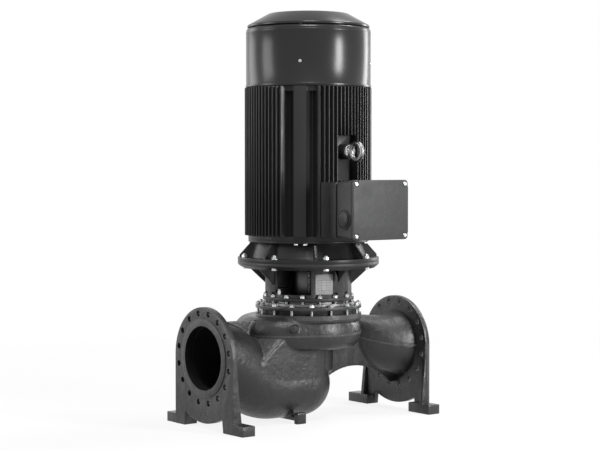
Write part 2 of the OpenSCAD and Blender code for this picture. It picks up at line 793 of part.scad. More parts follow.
// Places children on each clamping screw's axis; the screws of the two rows go in from opposite sides
module clamp_places() {
    for (turn = [0, 180], k = [0:clamp_n - 1]) {
        rotate(turn) translate([clamp_y, 0, clamp_pitch * (k + 0.5)]) rotate([90, 0, 0]) children();
    }
}

module coupling_halves() color(dark_paint) on_shaft(coupling_z) rotate(slot_a) difference() {
    tube(coupling_d / 2, pump_shaft_r + fit, coupling_l);
    translate([0, 0, coupling_l / 2 - 2]) cylinder(r = motor_shaft_r + fit, h = coupling_l, $fn = small_fn * 2);
    translate([-coupling_d, -coupling_slot / 2, -eps]) cube([2 * coupling_d, coupling_slot, coupling_l + 2 * eps]);
    clamp_places() {
        translate([0, 0, -coupling_d]) cylinder(d = clamp_d + 2 * fit, h = coupling_d + clamp_reach, $fn = small_fn);
        translate([0, 0, -clamp_seat - coupling_d]) cylinder(d = 1.8 * clamp_d, h = coupling_d, $fn = small_fn);
    }
}

module coupling_screws() color(steel) on_shaft(coupling_z) rotate(slot_a) clamp_places() {
    translate([0, 0, -clamp_seat - eps]) cylinder(d = clamp_d, h = clamp_seat + clamp_reach - 1, $fn = small_fn);
    translate([0, 0, -clamp_seat - clamp_d]) cylinder(d = 1.5 * clamp_d, h = clamp_d, $fn = small_fn);
}

// Lower end shield of the motor: flange, spigot, ribbed cone and bearing housing
bearing_lo_r = 120;
bearing_lo_in = 55;
bearing_lo_b = 50;
bearing_up_r = 100;
bearing_up_in = 47.5;
bearing_up_b = 45;
bearing_lo_z = motor_z + 52;
bearing_up_z = frame_top + 18;
shield_wall_r = 322;
shield_neck_r = 296;
frame_ring_r = 340;
shield_ring_t = 11;
shield_rib_a = 14;

module lower_shield() color(dark_paint) on_shaft() difference() {
    union() {
        turned([[bearing_lo_in + 8, motor_z + 14], [bearing_lo_r + 22, motor_z + 14],
            [shield_wall_r - 60, motor_z + 2], [recess_r - fit, motor_z - recess_h + 1],
            [recess_r - fit, motor_z], [motor_flange_d / 2, motor_z],
            [motor_flange_d / 2, motor_z + motor_flange_t], [shield_wall_r + 10, motor_z + motor_flange_t],
            [shield_neck_r, shield_top - shield_ring_t], [frame_ring_r, shield_top - shield_ring_t],
            [frame_ring_r, shield_top], [frame_bore_r - fit, shield_top], [frame_bore_r - fit, shield_top + 8],
            [frame_bore_r - 14, shield_top + 8], [frame_bore_r - 14, shield_top - 10],
            [shield_wall_r - 50, motor_z + motor_flange_t + 8], [bearing_lo_r + 22, motor_z + 34],
            [bearing_lo_r + 22, bearing_lo_z + bearing_lo_b], [bearing_lo_r + fit, bearing_lo_z + bearing_lo_b],
            [bearing_lo_r + fit, bearing_lo_z], [bearing_lo_in + 8, bearing_lo_z]]);
        for (i = [0:7]) {
            rotate(shield_rib_a + 45 * i) translate([0, 9, 0]) rotate([90, 0, 0]) linear_extrude(18)
                polygon([[shield_neck_r - 4, motor_z + motor_flange_t - eps],
                    [motor_flange_d / 2 - 9, motor_z + motor_flange_t - eps],
                    [motor_flange_d / 2 - 9, motor_z + motor_flange_t + 13],
                    [frame_ring_r - 16, shield_top - shield_ring_t + eps],
                    [shield_neck_r - 4, shield_top - shield_ring_t + eps]]);
        }
    }
    translate([0, 0, motor_z - eps]) around(motor_bolts, motor_pcd / 2, 22.5)
        cylinder(d = motor_bolt_d + 4, h = motor_flange_t + 2 * eps, $fn = small_fn);
    translate([0, 0, shield_top - shield_ring_t - eps]) shield_bolt_places()
        cylinder(d = shield_bolt_d + 1, h = shield_ring_t + 2 * eps, $fn = small_fn);
}

// Bolts go up from the stool's flange, nuts sit on the motor's flange
module flange_bolts() color(steel) on_shaft(motor_z - head_t + spot_h) around(motor_bolts, motor_pcd / 2, 22.5)
    mirror([0, 0, 1]) hex_bolt(motor_bolt_d, head_t - spot_h + motor_flange_t + nut_h(motor_bolt_d) + 8);

module flange_nuts() color(steel) on_shaft(motor_z + motor_flange_t) around(motor_bolts, motor_pcd / 2, 22.5)
    nut(motor_bolt_d);

shield_bolt_d = 14;
shield_bolt_r = 326;
shield_bolt_a = 4.7;

module shield_bolt_places() {
    for (i = [0:3], side = [-1, 1]) {
        rotate(45 + 90 * i + side * shield_bolt_a) translate([shield_bolt_r, 0, 0]) children();
    }
}

module shield_bolts() color(steel) on_shaft(shield_top - shield_ring_t) shield_bolt_places()
    mirror([0, 0, 1]) hex_bolt(shield_bolt_d, shield_ring_t + 22);

// Finned frame: bored shell, four groups of fins, four pads, box pedestal and eye bolt bosses
frame_ring_t = 27;
fin_r = fin_d / 2;
pad_r = fin_r - 7;
eye_z = motor_z + 613;
eye_boss_r = 42;
eye_boss_y = 365;
eye_pad_w = 134;
eye_pad_z = [eye_z - 160, eye_z + 91];
eye_floor_y = 304;
pedestal_half = 186;
pedestal_neck = 162;
pedestal_neck_y = 400;
earth_d = 14;
pedestal_top = 14;
box_z = shield_top + box_rise;

// Outline of the finned frame in plan
module fin_plan() {
    difference() {
        union() {
            circle(r = frame_r, $fn = round_fn);
            intersection() {
                circle(r = fin_r, $fn = round_fn);
                for (i = [0:3], k = [-fins_half:fins_half]) {
                    rotate(90 * i) translate([0, k * fin_pitch - fin_t / 2]) square([fin_r, fin_t]);
                }
            }
            for (i = [0:3]) {
                rotate(45 + 90 * i) pad_plan();
            }
        }
        circle(r = frame_bore_r, $fn = round_fn);
    }
}

// Smooth pad between two fin groups, with hollow flanks
module pad_plan() {
    foot_half = 104;
    difference() {
        translate([0, -foot_half]) square([pad_r, 2 * foot_half]);
        for (side = [-1, 1]) {
            translate([pad_r + 6, side * (pad_w / 2 + 62)]) circle(r = 63, $fn = small_fn * 2);
        }
    }
}

module motor_frame() color(dark_paint) difference() {
    on_shaft() union() {
        translate([0, 0, shield_top]) tube(frame_ring_r, frame_bore_r, frame_ring_t);
        translate([0, 0, shield_top + frame_ring_t - eps]) linear_extrude(frame_l - frame_ring_t + eps)
            fin_plan();
        translate([0, 0, frame_top - frame_ring_t]) tube(frame_ring_r, frame_bore_r, frame_ring_t);
        difference() {
            union() {
                translate([0, 0, box_z + 9]) linear_extrude(box_h - 9 - pedestal_top)
                    polygon([[-pedestal_neck, 0], [-pedestal_neck, -pedestal_neck_y], [-pedestal_half, -box_y],
                        [pedestal_half, -box_y], [pedestal_neck, -pedestal_neck_y], [pedestal_neck, 0]]);
                translate([-eye_pad_w / 2, -eye_floor_y, eye_pad_z[0]])
                    cube([eye_pad_w, 2 * eye_floor_y, eye_pad_z[1] - eye_pad_z[0]]);
                for (side = [-1, 1]) {
                    translate([0, 0, eye_z]) rotate([side * 90, 0, 0])
                        cylinder(r = eye_boss_r, h = eye_boss_y, $fn = small_fn * 2);
                }
            }
            translate([0, 0, shield_top - eps]) cylinder(r = frame_bore_r + 10, h = frame_l, $fn = round_fn);
            translate([-150, -box_y - eps, box_z + 50]) cube([300, 130, box_h - 100]);
        }
    }
    on_shaft() for (side = [-1, 1]) {
        eye_recess(side);
        translate([0, 0, eye_z]) rotate([side * 90, 0, 0]) translate([0, 0, eye_boss_y - 40])
            cylinder(d = eye_thread + 2 * fit, h = 41, $fn = small_fn);
    }
    translate([pump_x, 0, 0]) frame_bolt_holes();
    at_earth() translate([0, 0, -22]) cylinder(d = earth_d + 2 * fit, h = 22 + eps, $fn = small_fn);
}

// Fins are cut back round each eye bolt
module eye_recess(side) {
    difference() {
        translate([-eye_pad_w / 2, side > 0 ? -fin_r - eps : eye_floor_y, eye_pad_z[0]])
            cube([eye_pad_w, fin_r - eye_floor_y + eps, eye_pad_z[1] - eye_pad_z[0]]);
        translate([0, 0, eye_z]) rotate([side * 90, 0, 0])
            cylinder(r = eye_boss_r, h = eye_boss_y, $fn = small_fn * 2);
    }
}

module frame_bolt_holes() {
    translate([0, 0, shield_top - eps]) shield_bolt_places()
        cylinder(d = shield_bolt_d + 2 * fit, h = 24, $fn = small_fn);
    translate([0, 0, frame_top - 24]) shield_bolt_places()
        cylinder(d = shield_bolt_d + 2 * fit, h = 25, $fn = small_fn);
}

eye_thread = 36;

module eye_bolts() color(steel) on_shaft(eye_z) {
    for (side = [-1, 1]) {
        rotate([side * 90, 0, 0]) {
            translate([0, 0, eye_boss_y - 38]) cylinder(d = eye_thread, h = 38 + eps, $fn = small_fn);
            translate([0, 0, eye_boss_y]) cylinder(r = 37, h = 10, $fn = small_fn * 2);
            translate([0, 0, eye_boss_y + 66]) rotate([0, 90, 0])
                rotate_extrude($fn = small_fn * 2) translate([46, 0]) circle(r = 13, $fn = small_fn);
        }
    }
}

// Stator, rotor and shaft of the motor
core_l = 540;
core_z = shield_top + (frame_l - core_l) / 2;
air_gap = 1.5;
stator_in_r = 180;
end_turn = 80;

module stator_core() color("#6d7074") on_shaft(core_z) difference() {
    tube(frame_bore_r - fit, stator_in_r, core_l);
    around(8, frame_bore_r, 11) translate([0, 0, -eps]) cylinder(r = 6, h = core_l + 2 * eps, $fn = small_fn);
}

module stator_winding() color(copper) on_shaft() {
    for (z = [core_z - end_turn, core_z + core_l]) {
        translate([0, 0, z]) turned([[stator_in_r + 10, 0], [stator_in_r + 58, 0], [stator_in_r + 64, 10],
            [stator_in_r + 64, end_turn - 10], [stator_in_r + 58, end_turn], [stator_in_r + 10, end_turn]]);
    }
}

module rotor_core() color("#7c8084") on_shaft(core_z) {
    tube(stator_in_r - air_gap, core_shaft_r + fit, core_l);
    for (z = [-22, core_l]) {
        translate([0, 0, z]) tube(stator_in_r - 8, stator_in_r - 44, 22);
    }
}

core_shaft_r = 75;
fan_z = frame_top + 108;
fan_h = 96;
fan_bore_r = 40;

module motor_shaft() color(steel) on_shaft() turned([[0, shaft_meet + 2], [motor_shaft_r, shaft_meet + 2],
    [motor_shaft_r, motor_z + 4], [bearing_lo_in, motor_z + 4], [bearing_lo_in, bearing_lo_z + bearing_lo_b + 2],
    [core_shaft_r, bearing_lo_z + bearing_lo_b + 2], [core_shaft_r, bearing_up_z - 2],
    [bearing_up_in, bearing_up_z - 2], [bearing_up_in, fan_z - 8], [fan_bore_r, fan_z - 8],
    [fan_bore_r, fan_z + fan_h], [0, fan_z + fan_h]], small_fn * 2);

// Ball bearings: outer ring, inner ring, and the balls in their cage
function race_r(outer, inner) = (outer + inner) / 2;
function ball_r(outer, inner) = (outer - inner) * 0.3;

module bearing_outer(outer, inner, b) {
    difference() {
        tube(outer, race_r(outer, inner) + ball_r(outer, inner) * 0.72, b);
        translate([0, 0, b / 2]) rotate_extrude($fn = round_fn)
            translate([race_r(outer, inner), 0]) circle(r = ball_r(outer, inner) + joint_gap, $fn = small_fn);
    }
}

module bearing_inner(outer, inner, b) {
    difference() {
        tube(race_r(outer, inner) - ball_r(outer, inner) * 0.72, inner + fit, b);
        translate([0, 0, b / 2]) rotate_extrude($fn = round_fn)
            translate([race_r(outer, inner), 0]) circle(r = ball_r(outer, inner) + joint_gap, $fn = small_fn);
    }
}

module ball_cage(outer, inner, b, n) {
    ball = ball_r(outer, inner);
    mid = race_r(outer, inner);
    difference() {
        translate([0, 0, b / 2 - 8]) tube(mid + ball * 0.45, mid - ball * 0.45, 16);
        translate([0, 0, b / 2]) around(n, mid) sphere(r = ball + joint_gap, $fn = small_fn);
    }
    translate([0, 0, b / 2]) around(n, mid) sphere(r = ball, $fn = small_fn);
}

module lower_bearing_outer() color(steel) on_shaft(bearing_lo_z)
    bearing_outer(bearing_lo_r, bearing_lo_in, bearing_lo_b);
module upper_bearing_outer() color(steel) on_shaft(bearing_up_z)
    bearing_outer(bearing_up_r, bearing_up_in, bearing_up_b);
module lower_bearing_inner() color(steel) on_shaft(bearing_lo_z)
    bearing_inner(bearing_lo_r, bearing_lo_in, bearing_lo_b);
module upper_bearing_inner() color(steel) on_shaft(bearing_up_z)
    bearing_inner(bearing_up_r, bearing_up_in, bearing_up_b);
module lower_ball_cage() color(bronze) on_shaft(bearing_lo_z)
    ball_cage(bearing_lo_r, bearing_lo_in, bearing_lo_b, lower_balls);
module upper_ball_cage() color(bronze) on_shaft(bearing_up_z)
    ball_cage(bearing_up_r, bearing_up_in, bearing_up_b, upper_balls);

module lower_bearing_cap() color(cast_iron) on_shaft(bearing_lo_z + bearing_lo_b)
    tube(bearing_lo_r + 18, core_shaft_r + 4, 12);
module upper_bearing_cap() color(cast_iron) on_shaft(bearing_up_z + bearing_up_b)
    tube(bearing_up_r + 14, bearing_up_in + 6, 12);

// Upper end shield, with posts that carry the fan cover
post_r = cowl_d / 2 - cowl_t - joint_gap;
post_h = 150;
post_w = 24;
screw_z = frame_top + 135;

module upper_shield() color(dark_paint) on_shaft() difference() {
    union() {
        turned([[core_shaft_r + 4, bearing_up_z - 16], [frame_bore_r - fit, frame_top - 8],
            [frame_bore_r - fit, frame_top], [frame_ring_r, frame_top], [frame_ring_r, frame_top + 14],
            [shield_bolt_r - 26, frame_top + 14], [bearing_up_r + 24, frame_top + 30], [bearing_up_r + 20, bearing_up_z + bearing_up_b],
            [bearing_up_r + fit, bearing_up_z + bearing_up_b], [bearing_up_r + fit, bearing_up_z],
            [core_shaft_r + 4, bearing_up_z]]);
        for (i = [0:3]) {
            rotate(45 + 90 * i) intersection() {
                translate([post_r - 50, -post_w / 2, frame_top + 10]) cube([60, post_w, post_h]);
                translate([0, 0, frame_top]) tube(post_r, post_r - 24, post_h + 20);
            }
        }
    }
    translate([0, 0, frame_top - eps]) shield_bolt_places()
        cylinder(d = shield_bolt_d + 1, h = 20, $fn = small_fn);
    translate([0, 0, screw_z]) cowl_screw_places() translate([0, 0, -30])
        cylinder(d = cowl_screw_d + 2 * fit, h = 40, $fn = small_fn);
}

module upper_bolts() color(steel) on_shaft(frame_top + 14) shield_bolt_places() hex_bolt(shield_bolt_d, 36);

cowl_screw_d = 10;

// Places children on the fan cover's wall, looking outwards
module cowl_screw_places() {
    for (i = [0:3]) {
        rotate(45 + 90 * i) translate([cowl_d / 2, 0, 0]) rotate([0, 90, 0]) children();
    }
}

// Fan cover: drawn shell with a bead, a round shoulder and a ring grille under the canopy
shoulder = 22;
grille_rings = 5;
grille_spokes = 8;
hub_cap_r = 60;

module fan_cover() color(dark_paint) on_shaft() difference() {
    union() {
        turned([[cowl_d / 2 - cowl_t, cowl_z], [cowl_d / 2 + 3, cowl_z], [cowl_d / 2 + 3, cowl_z + 14],
            [cowl_d / 2, cowl_z + 17], [cowl_d / 2, cowl_top - shoulder], [cowl_d / 2 - 6, cowl_top - 7],
            [cowl_d / 2 - shoulder, cowl_top], [cowl_d / 2 - 60, cowl_top],
            [cowl_d / 2 - 60, cowl_top - cowl_t], [cowl_d / 2 - shoulder - 2, cowl_top - cowl_t],
            [cowl_d / 2 - 9, cowl_top - 10], [cowl_d / 2 - cowl_t, cowl_top - shoulder - 1]]);
        translate([0, 0, cowl_top - cowl_t]) grille();
    }
    translate([0, 0, screw_z]) cowl_screw_places() translate([0, 0, -20])
        cylinder(d = cowl_screw_d + 1, h = 40, $fn = small_fn);
    translate([0, 0, cowl_top - cowl_t]) around(4, canopy_post_r, 45)
        translate([0, 0, -eps]) cylinder(d = 9, h = cowl_t + 2 * eps, $fn = small_fn);
}

module grille() {
    outer = cowl_d / 2 - 58;
    step = (outer - hub_cap_r) / grille_rings;
    cylinder(r = hub_cap_r, h = cowl_t, $fn = round_fn);
    for (i = [1:grille_rings - 1]) {
        tube(hub_cap_r + i * step + 4, hub_cap_r + i * step - 4, cowl_t);
    }
    for (i = [0:grille_spokes - 1]) {
        rotate(360 * i / grille_spokes) translate([hub_cap_r - 4, -5, 0])
            cube([outer - hub_cap_r + 6, 10, cowl_t]);
    }
}

module fan_cover_screws() color(steel) on_shaft(screw_z) cowl_screw_places() {
    cylinder(r = 0.9 * cowl_screw_d, h = 0.4 * cowl_screw_d, $fn = small_fn);
    translate([0, 0, -22]) cylinder(d = cowl_screw_d, h = 22, $fn = small_fn);
}

canopy_post_r = 313;
spacer_r = 9;
canopy_slope = (canopy_h - 21) / (canopy_r - 231);
spacer_h = canopy_gap + 4 + (canopy_r - 4 - canopy_post_r - spacer_r) * canopy_slope - joint_gap;

module fan_canopy() color(dark_paint) on_shaft() turned([[canopy_r - 2, canopy_z], [canopy_r, canopy_z],
    [canopy_r, canopy_z + 6], [228, canopy_z + canopy_h - 13], [0, canopy_z + canopy_h],
    [0, canopy_z + canopy_h - 4], [227, canopy_z + canopy_h - 17], [canopy_r - 4, canopy_z + 4]]);

module canopy_spacers() color(steel) on_shaft(cowl_top) around(4, canopy_post_r, 45) {
    cylinder(r = spacer_r, h = spacer_h, $fn = small_fn);
    translate([0, 0, -cowl_t - 8]) cylinder(d = 8, h = cowl_t + 8 + eps, $fn = small_fn);
}

module cooling_fan() color(plastic) on_shaft(fan_z) difference() {
    union() {
        cylinder(r = 66, h = fan_h - 10, $fn = round_fn);
        cylinder(r = fan_r - 8, h = 7, $fn = round_fn);
        for (i = [0:fan_blades - 1]) {
            rotate(360 * i / fan_blades) translate([60, -3, 0]) rotate([90, 0, 0]) linear_extrude(6)
                polygon([[0, 0], [fan_r - 60, 0], [fan_r - 60, fan_h * 0.7], [90, fan_h - 12], [0, fan_h - 12]]);
        }
    }
    translate([0, 0, -eps]) cylinder(r = fan_bore_r + fit, h = fan_h + 2 * eps, $fn = small_fn * 2);
}

module fan_clip() color(steel) on_shaft(fan_z + fan_h - 10 + joint_gap) tube(fan_bore_r + 12, fan_bore_r + fit, 5, small_fn * 2);

// Terminal box on its pedestal: tapered shell, gasket, lid with cut corners, board and plugs
box_taper = 13;
box_wall = 8;
lid_notch = 14;
gasket_t = 3;
lid_screw_d = 12;
lid_inset = 22;
box_front = box_y + box_depth;
entry_out = box_depth / 2 - entry_r - 17;
entry_drop = 50;
entry_face = box_w / 2 + 1;

// Rounded plate in the XZ plane, growing towards -Y
module box_plate(w, h, r, t) {
    rotate([90, 0, 0]) linear_extrude(t) {
        square([w - 2 * r, h], center = true);
        square([w, h - 2 * r], center = true);
        for (x = [-1, 1], z = [-1, 1]) {
            translate([x * (w / 2 - r), z * (h / 2 - r)]) circle(r = r, $fn = small_fn);
        }
    }
}

module at_box(y) {
    translate([pump_x, -y, box_z + box_h / 2]) children();
}

// Places children on the axis of the cable entry, looking towards -X
module at_entry() {
    at_box((box_y + box_front) / 2 + entry_out) translate([0, 0, -entry_drop]) rotate([0, -90, 0]) children();
}

module terminal_box() color(dark_paint) difference() {
    union() {
        hull() {
            at_box(box_y) box_plate(box_w - 2 * box_taper, box_h - 2 * box_taper, 16, 2);
            at_box(box_front - 2) box_plate(box_w, box_h, 20, 2);
        }
        at_entry() translate([0, 0, entry_face - 30]) cylinder(r = entry_r + 16, h = 30, $fn = small_fn * 2);
    }
    hull() {
        at_box(box_y + box_wall) box_plate(box_w - 2 * box_taper - 2 * box_wall, box_h - 2 * box_taper - 2 * box_wall, 12, 2);
        at_box(box_front) box_plate(box_w - 2 * box_wall - 26, box_h - 2 * box_wall - 26, 12, 2);
    }
    at_box(box_y - eps) translate([0, 0, -60]) box_plate(160, 100, 20, box_wall + 3);
    at_box(box_front - 30) lid_screw_places() rotate([90, 0, 0])
        cylinder(d = lid_screw_d + 2 * fit, h = 31, $fn = small_fn);
    at_entry() translate([0, 0, entry_face - 60]) cylinder(r = entry_r, h = 70, $fn = small_fn * 2);
}

module lid_screw_places() {
    for (x = [-1, 1], z = [-1, 1]) {
        translate([x * (box_w / 2 - lid_inset), 0, z * (box_h / 2 - lid_inset)]) children();
    }
}

module box_gasket() color(plastic) difference() {
    at_box(box_front) box_plate(box_w - 4, box_h - 4, 18, gasket_t);
    at_box(box_front - eps) box_plate(box_w - 80, box_h - 80, 12, gasket_t + 2 * eps);
    at_box(box_front + eps) lid_screw_places() rotate([90, 0, 0])
        cylinder(d = lid_screw_d + 1, h = 3 * gasket_t, center = true, $fn = small_fn);
}

module box_lid() color(dark_paint) difference() {
    at_box(box_front + gasket_t) box_plate(box_w, box_h, 20, lid_t);
    at_box(box_front + gasket_t + lid_t - 4) lid_corners();
    at_box(box_front + gasket_t - eps) lid_screw_places() rotate([90, 0, 0])
        cylinder(d = lid_screw_d + 1, h = lid_t + 2 * eps, $fn = small_fn);
}

// Lowered corners round the lid screws
module lid_corners() {
    reach = lid_inset + lid_notch;
    for (x = [-1, 1], z = [-1, 1]) {
        translate([x * box_w / 2, 0, z * box_h / 2]) rotate([90, 0, 0])
            translate([-reach, -reach]) cube([2 * reach, 2 * reach, 10]);
    }
}

module lid_screws() color(steel) at_box(box_front + gasket_t + lid_t - 4) lid_screw_places()
    rotate([90, 0, 0]) hex_bolt(lid_screw_d, lid_t + gasket_t + 18);

module terminal_board() color("#7a4a2a") {
    at_box(box_y + box_wall + joint_gap) rotate([90, 0, 0]) translate([-75, 30, 0]) cube([150, 70, 18]);
    at_box(box_y + box_wall + 17 + joint_gap) for (i = [0:2], k = [0:1]) {
        translate([-50 + 50 * i, 0, 48 + 34 * k]) rotate([90, 0, 0]) cylinder(d = 12, h = 30, $fn = small_fn);
    }
}

module entry_plug() color(dark_paint) at_entry() {
    translate([0, 0, entry_face - 26]) cylinder(r = entry_r - fit, h = 27, $fn = small_fn * 2);
    translate([0, 0, entry_face]) cylinder(r = entry_r + 13, h = 14, $fn = small_fn * 2);
}

module at_earth() {
    translate([pump_x + pedestal_neck, 15 - pedestal_neck_y, box_z + 40]) rotate([0, 90, 0]) children();
}

module earth_screw() color(steel) at_earth() hex_bolt(earth_d, 20);

pump_casing();
wear_ring();
casing_plugs();
cover_o_ring();
casing_cover();
cover_studs();
cover_nuts();
seal_gland();
gland_screws();
seal_seat();
motor_stool();
stool_studs();
stool_nuts();
nameplate();
vent_body();
vent_screw();
lower_shield();
flange_bolts();
flange_nuts();
shield_bolts();
motor_frame();
stator_core();
stator_winding();
upper_shield();
upper_bolts();
lower_bearing_outer();
upper_bearing_outer();
lower_bearing_cap();
upper_bearing_cap();
fan_cover();
fan_cover_screws();
fan_canopy();
canopy_spacers();
eye_bolts();
terminal_box();
box_gasket();
box_lid();
lid_screws();
terminal_board();
entry_plug();
earth_screw();
motor_shaft();
rotor_core();
lower_bearing_inner();
upper_bearing_inner();
lower_ball_cage();
upper_ball_cage();
cooling_fan();
fan_clip();
coupling_halves();
coupling_screws();
pump_shaft();
impeller();
impeller_key();
impeller_nut();
seal_head();
seal_spring();
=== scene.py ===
"""Upright single-stage in-line pump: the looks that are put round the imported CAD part."""

import json
import logging
import math
from collections.abc import Callable
from dataclasses import dataclass
from enum import Enum

import bmesh
import bpy
from mathutils import Matrix, Vector

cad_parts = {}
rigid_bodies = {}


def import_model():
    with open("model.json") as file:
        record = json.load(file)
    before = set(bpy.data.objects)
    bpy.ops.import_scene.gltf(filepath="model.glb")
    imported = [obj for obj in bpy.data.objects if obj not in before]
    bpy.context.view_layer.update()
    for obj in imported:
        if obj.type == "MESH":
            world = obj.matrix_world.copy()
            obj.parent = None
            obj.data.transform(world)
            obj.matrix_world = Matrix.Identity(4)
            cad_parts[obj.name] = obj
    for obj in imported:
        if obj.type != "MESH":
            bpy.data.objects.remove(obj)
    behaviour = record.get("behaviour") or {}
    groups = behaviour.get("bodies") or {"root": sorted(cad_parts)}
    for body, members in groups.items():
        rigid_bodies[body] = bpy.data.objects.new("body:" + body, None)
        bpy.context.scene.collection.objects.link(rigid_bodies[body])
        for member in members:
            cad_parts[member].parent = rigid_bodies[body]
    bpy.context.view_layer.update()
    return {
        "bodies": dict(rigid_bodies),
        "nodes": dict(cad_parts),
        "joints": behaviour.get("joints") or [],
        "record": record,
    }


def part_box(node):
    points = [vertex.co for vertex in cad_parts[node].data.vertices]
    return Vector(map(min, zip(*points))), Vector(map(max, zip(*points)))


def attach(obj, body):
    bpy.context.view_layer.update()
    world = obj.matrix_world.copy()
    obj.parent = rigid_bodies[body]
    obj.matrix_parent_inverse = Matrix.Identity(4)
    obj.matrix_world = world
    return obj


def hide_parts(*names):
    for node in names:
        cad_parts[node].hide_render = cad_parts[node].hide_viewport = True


LOG = logging.getLogger("pump")

# Places in the CAD frame, in metres: the shaft, the ports, and the seats from the volute up.
SHAFT_X = 0.022
PORT_Z = 0.385
VOLUTE_Z = 0.490
SEAT_Z = 0.600
HUB_Z = 0.647
STOOL_Z = 0.674
FRAME_TOP = 1.864

# The gauge boss on the volute: its angle in degrees, its height over the volute and its reach.
GAUGE_TURN = 219.0
GAUGE_RISE = 0.042
GAUGE_REACH = 0.3423

# Edges sharper than this are rounded, in degrees.
EASE_ANGLE = 50


class Mark(Enum):
    """What a finish shows on top of its colour."""

    CAST = "sand-cast skin"
    SPRAYED = "sprayed sheet"
    TURNED = "turned steel"
    PLATED = "zinc-plated steel"
    MOULDED = "moulded polymer"


def rgb(value: float, blue: float = 0.0) -> tuple[float, float, float, float]:
    """Gives a grey with a slight shift towards blue.

    Args:
        value: Linear grey value.
        blue: How much bluer than neutral, as a share of the value.

    Returns:
        A linear colour with alpha 1.
    """
    return (value * (1.0 - blue), value, value * (1.0 + blue), 1.0)


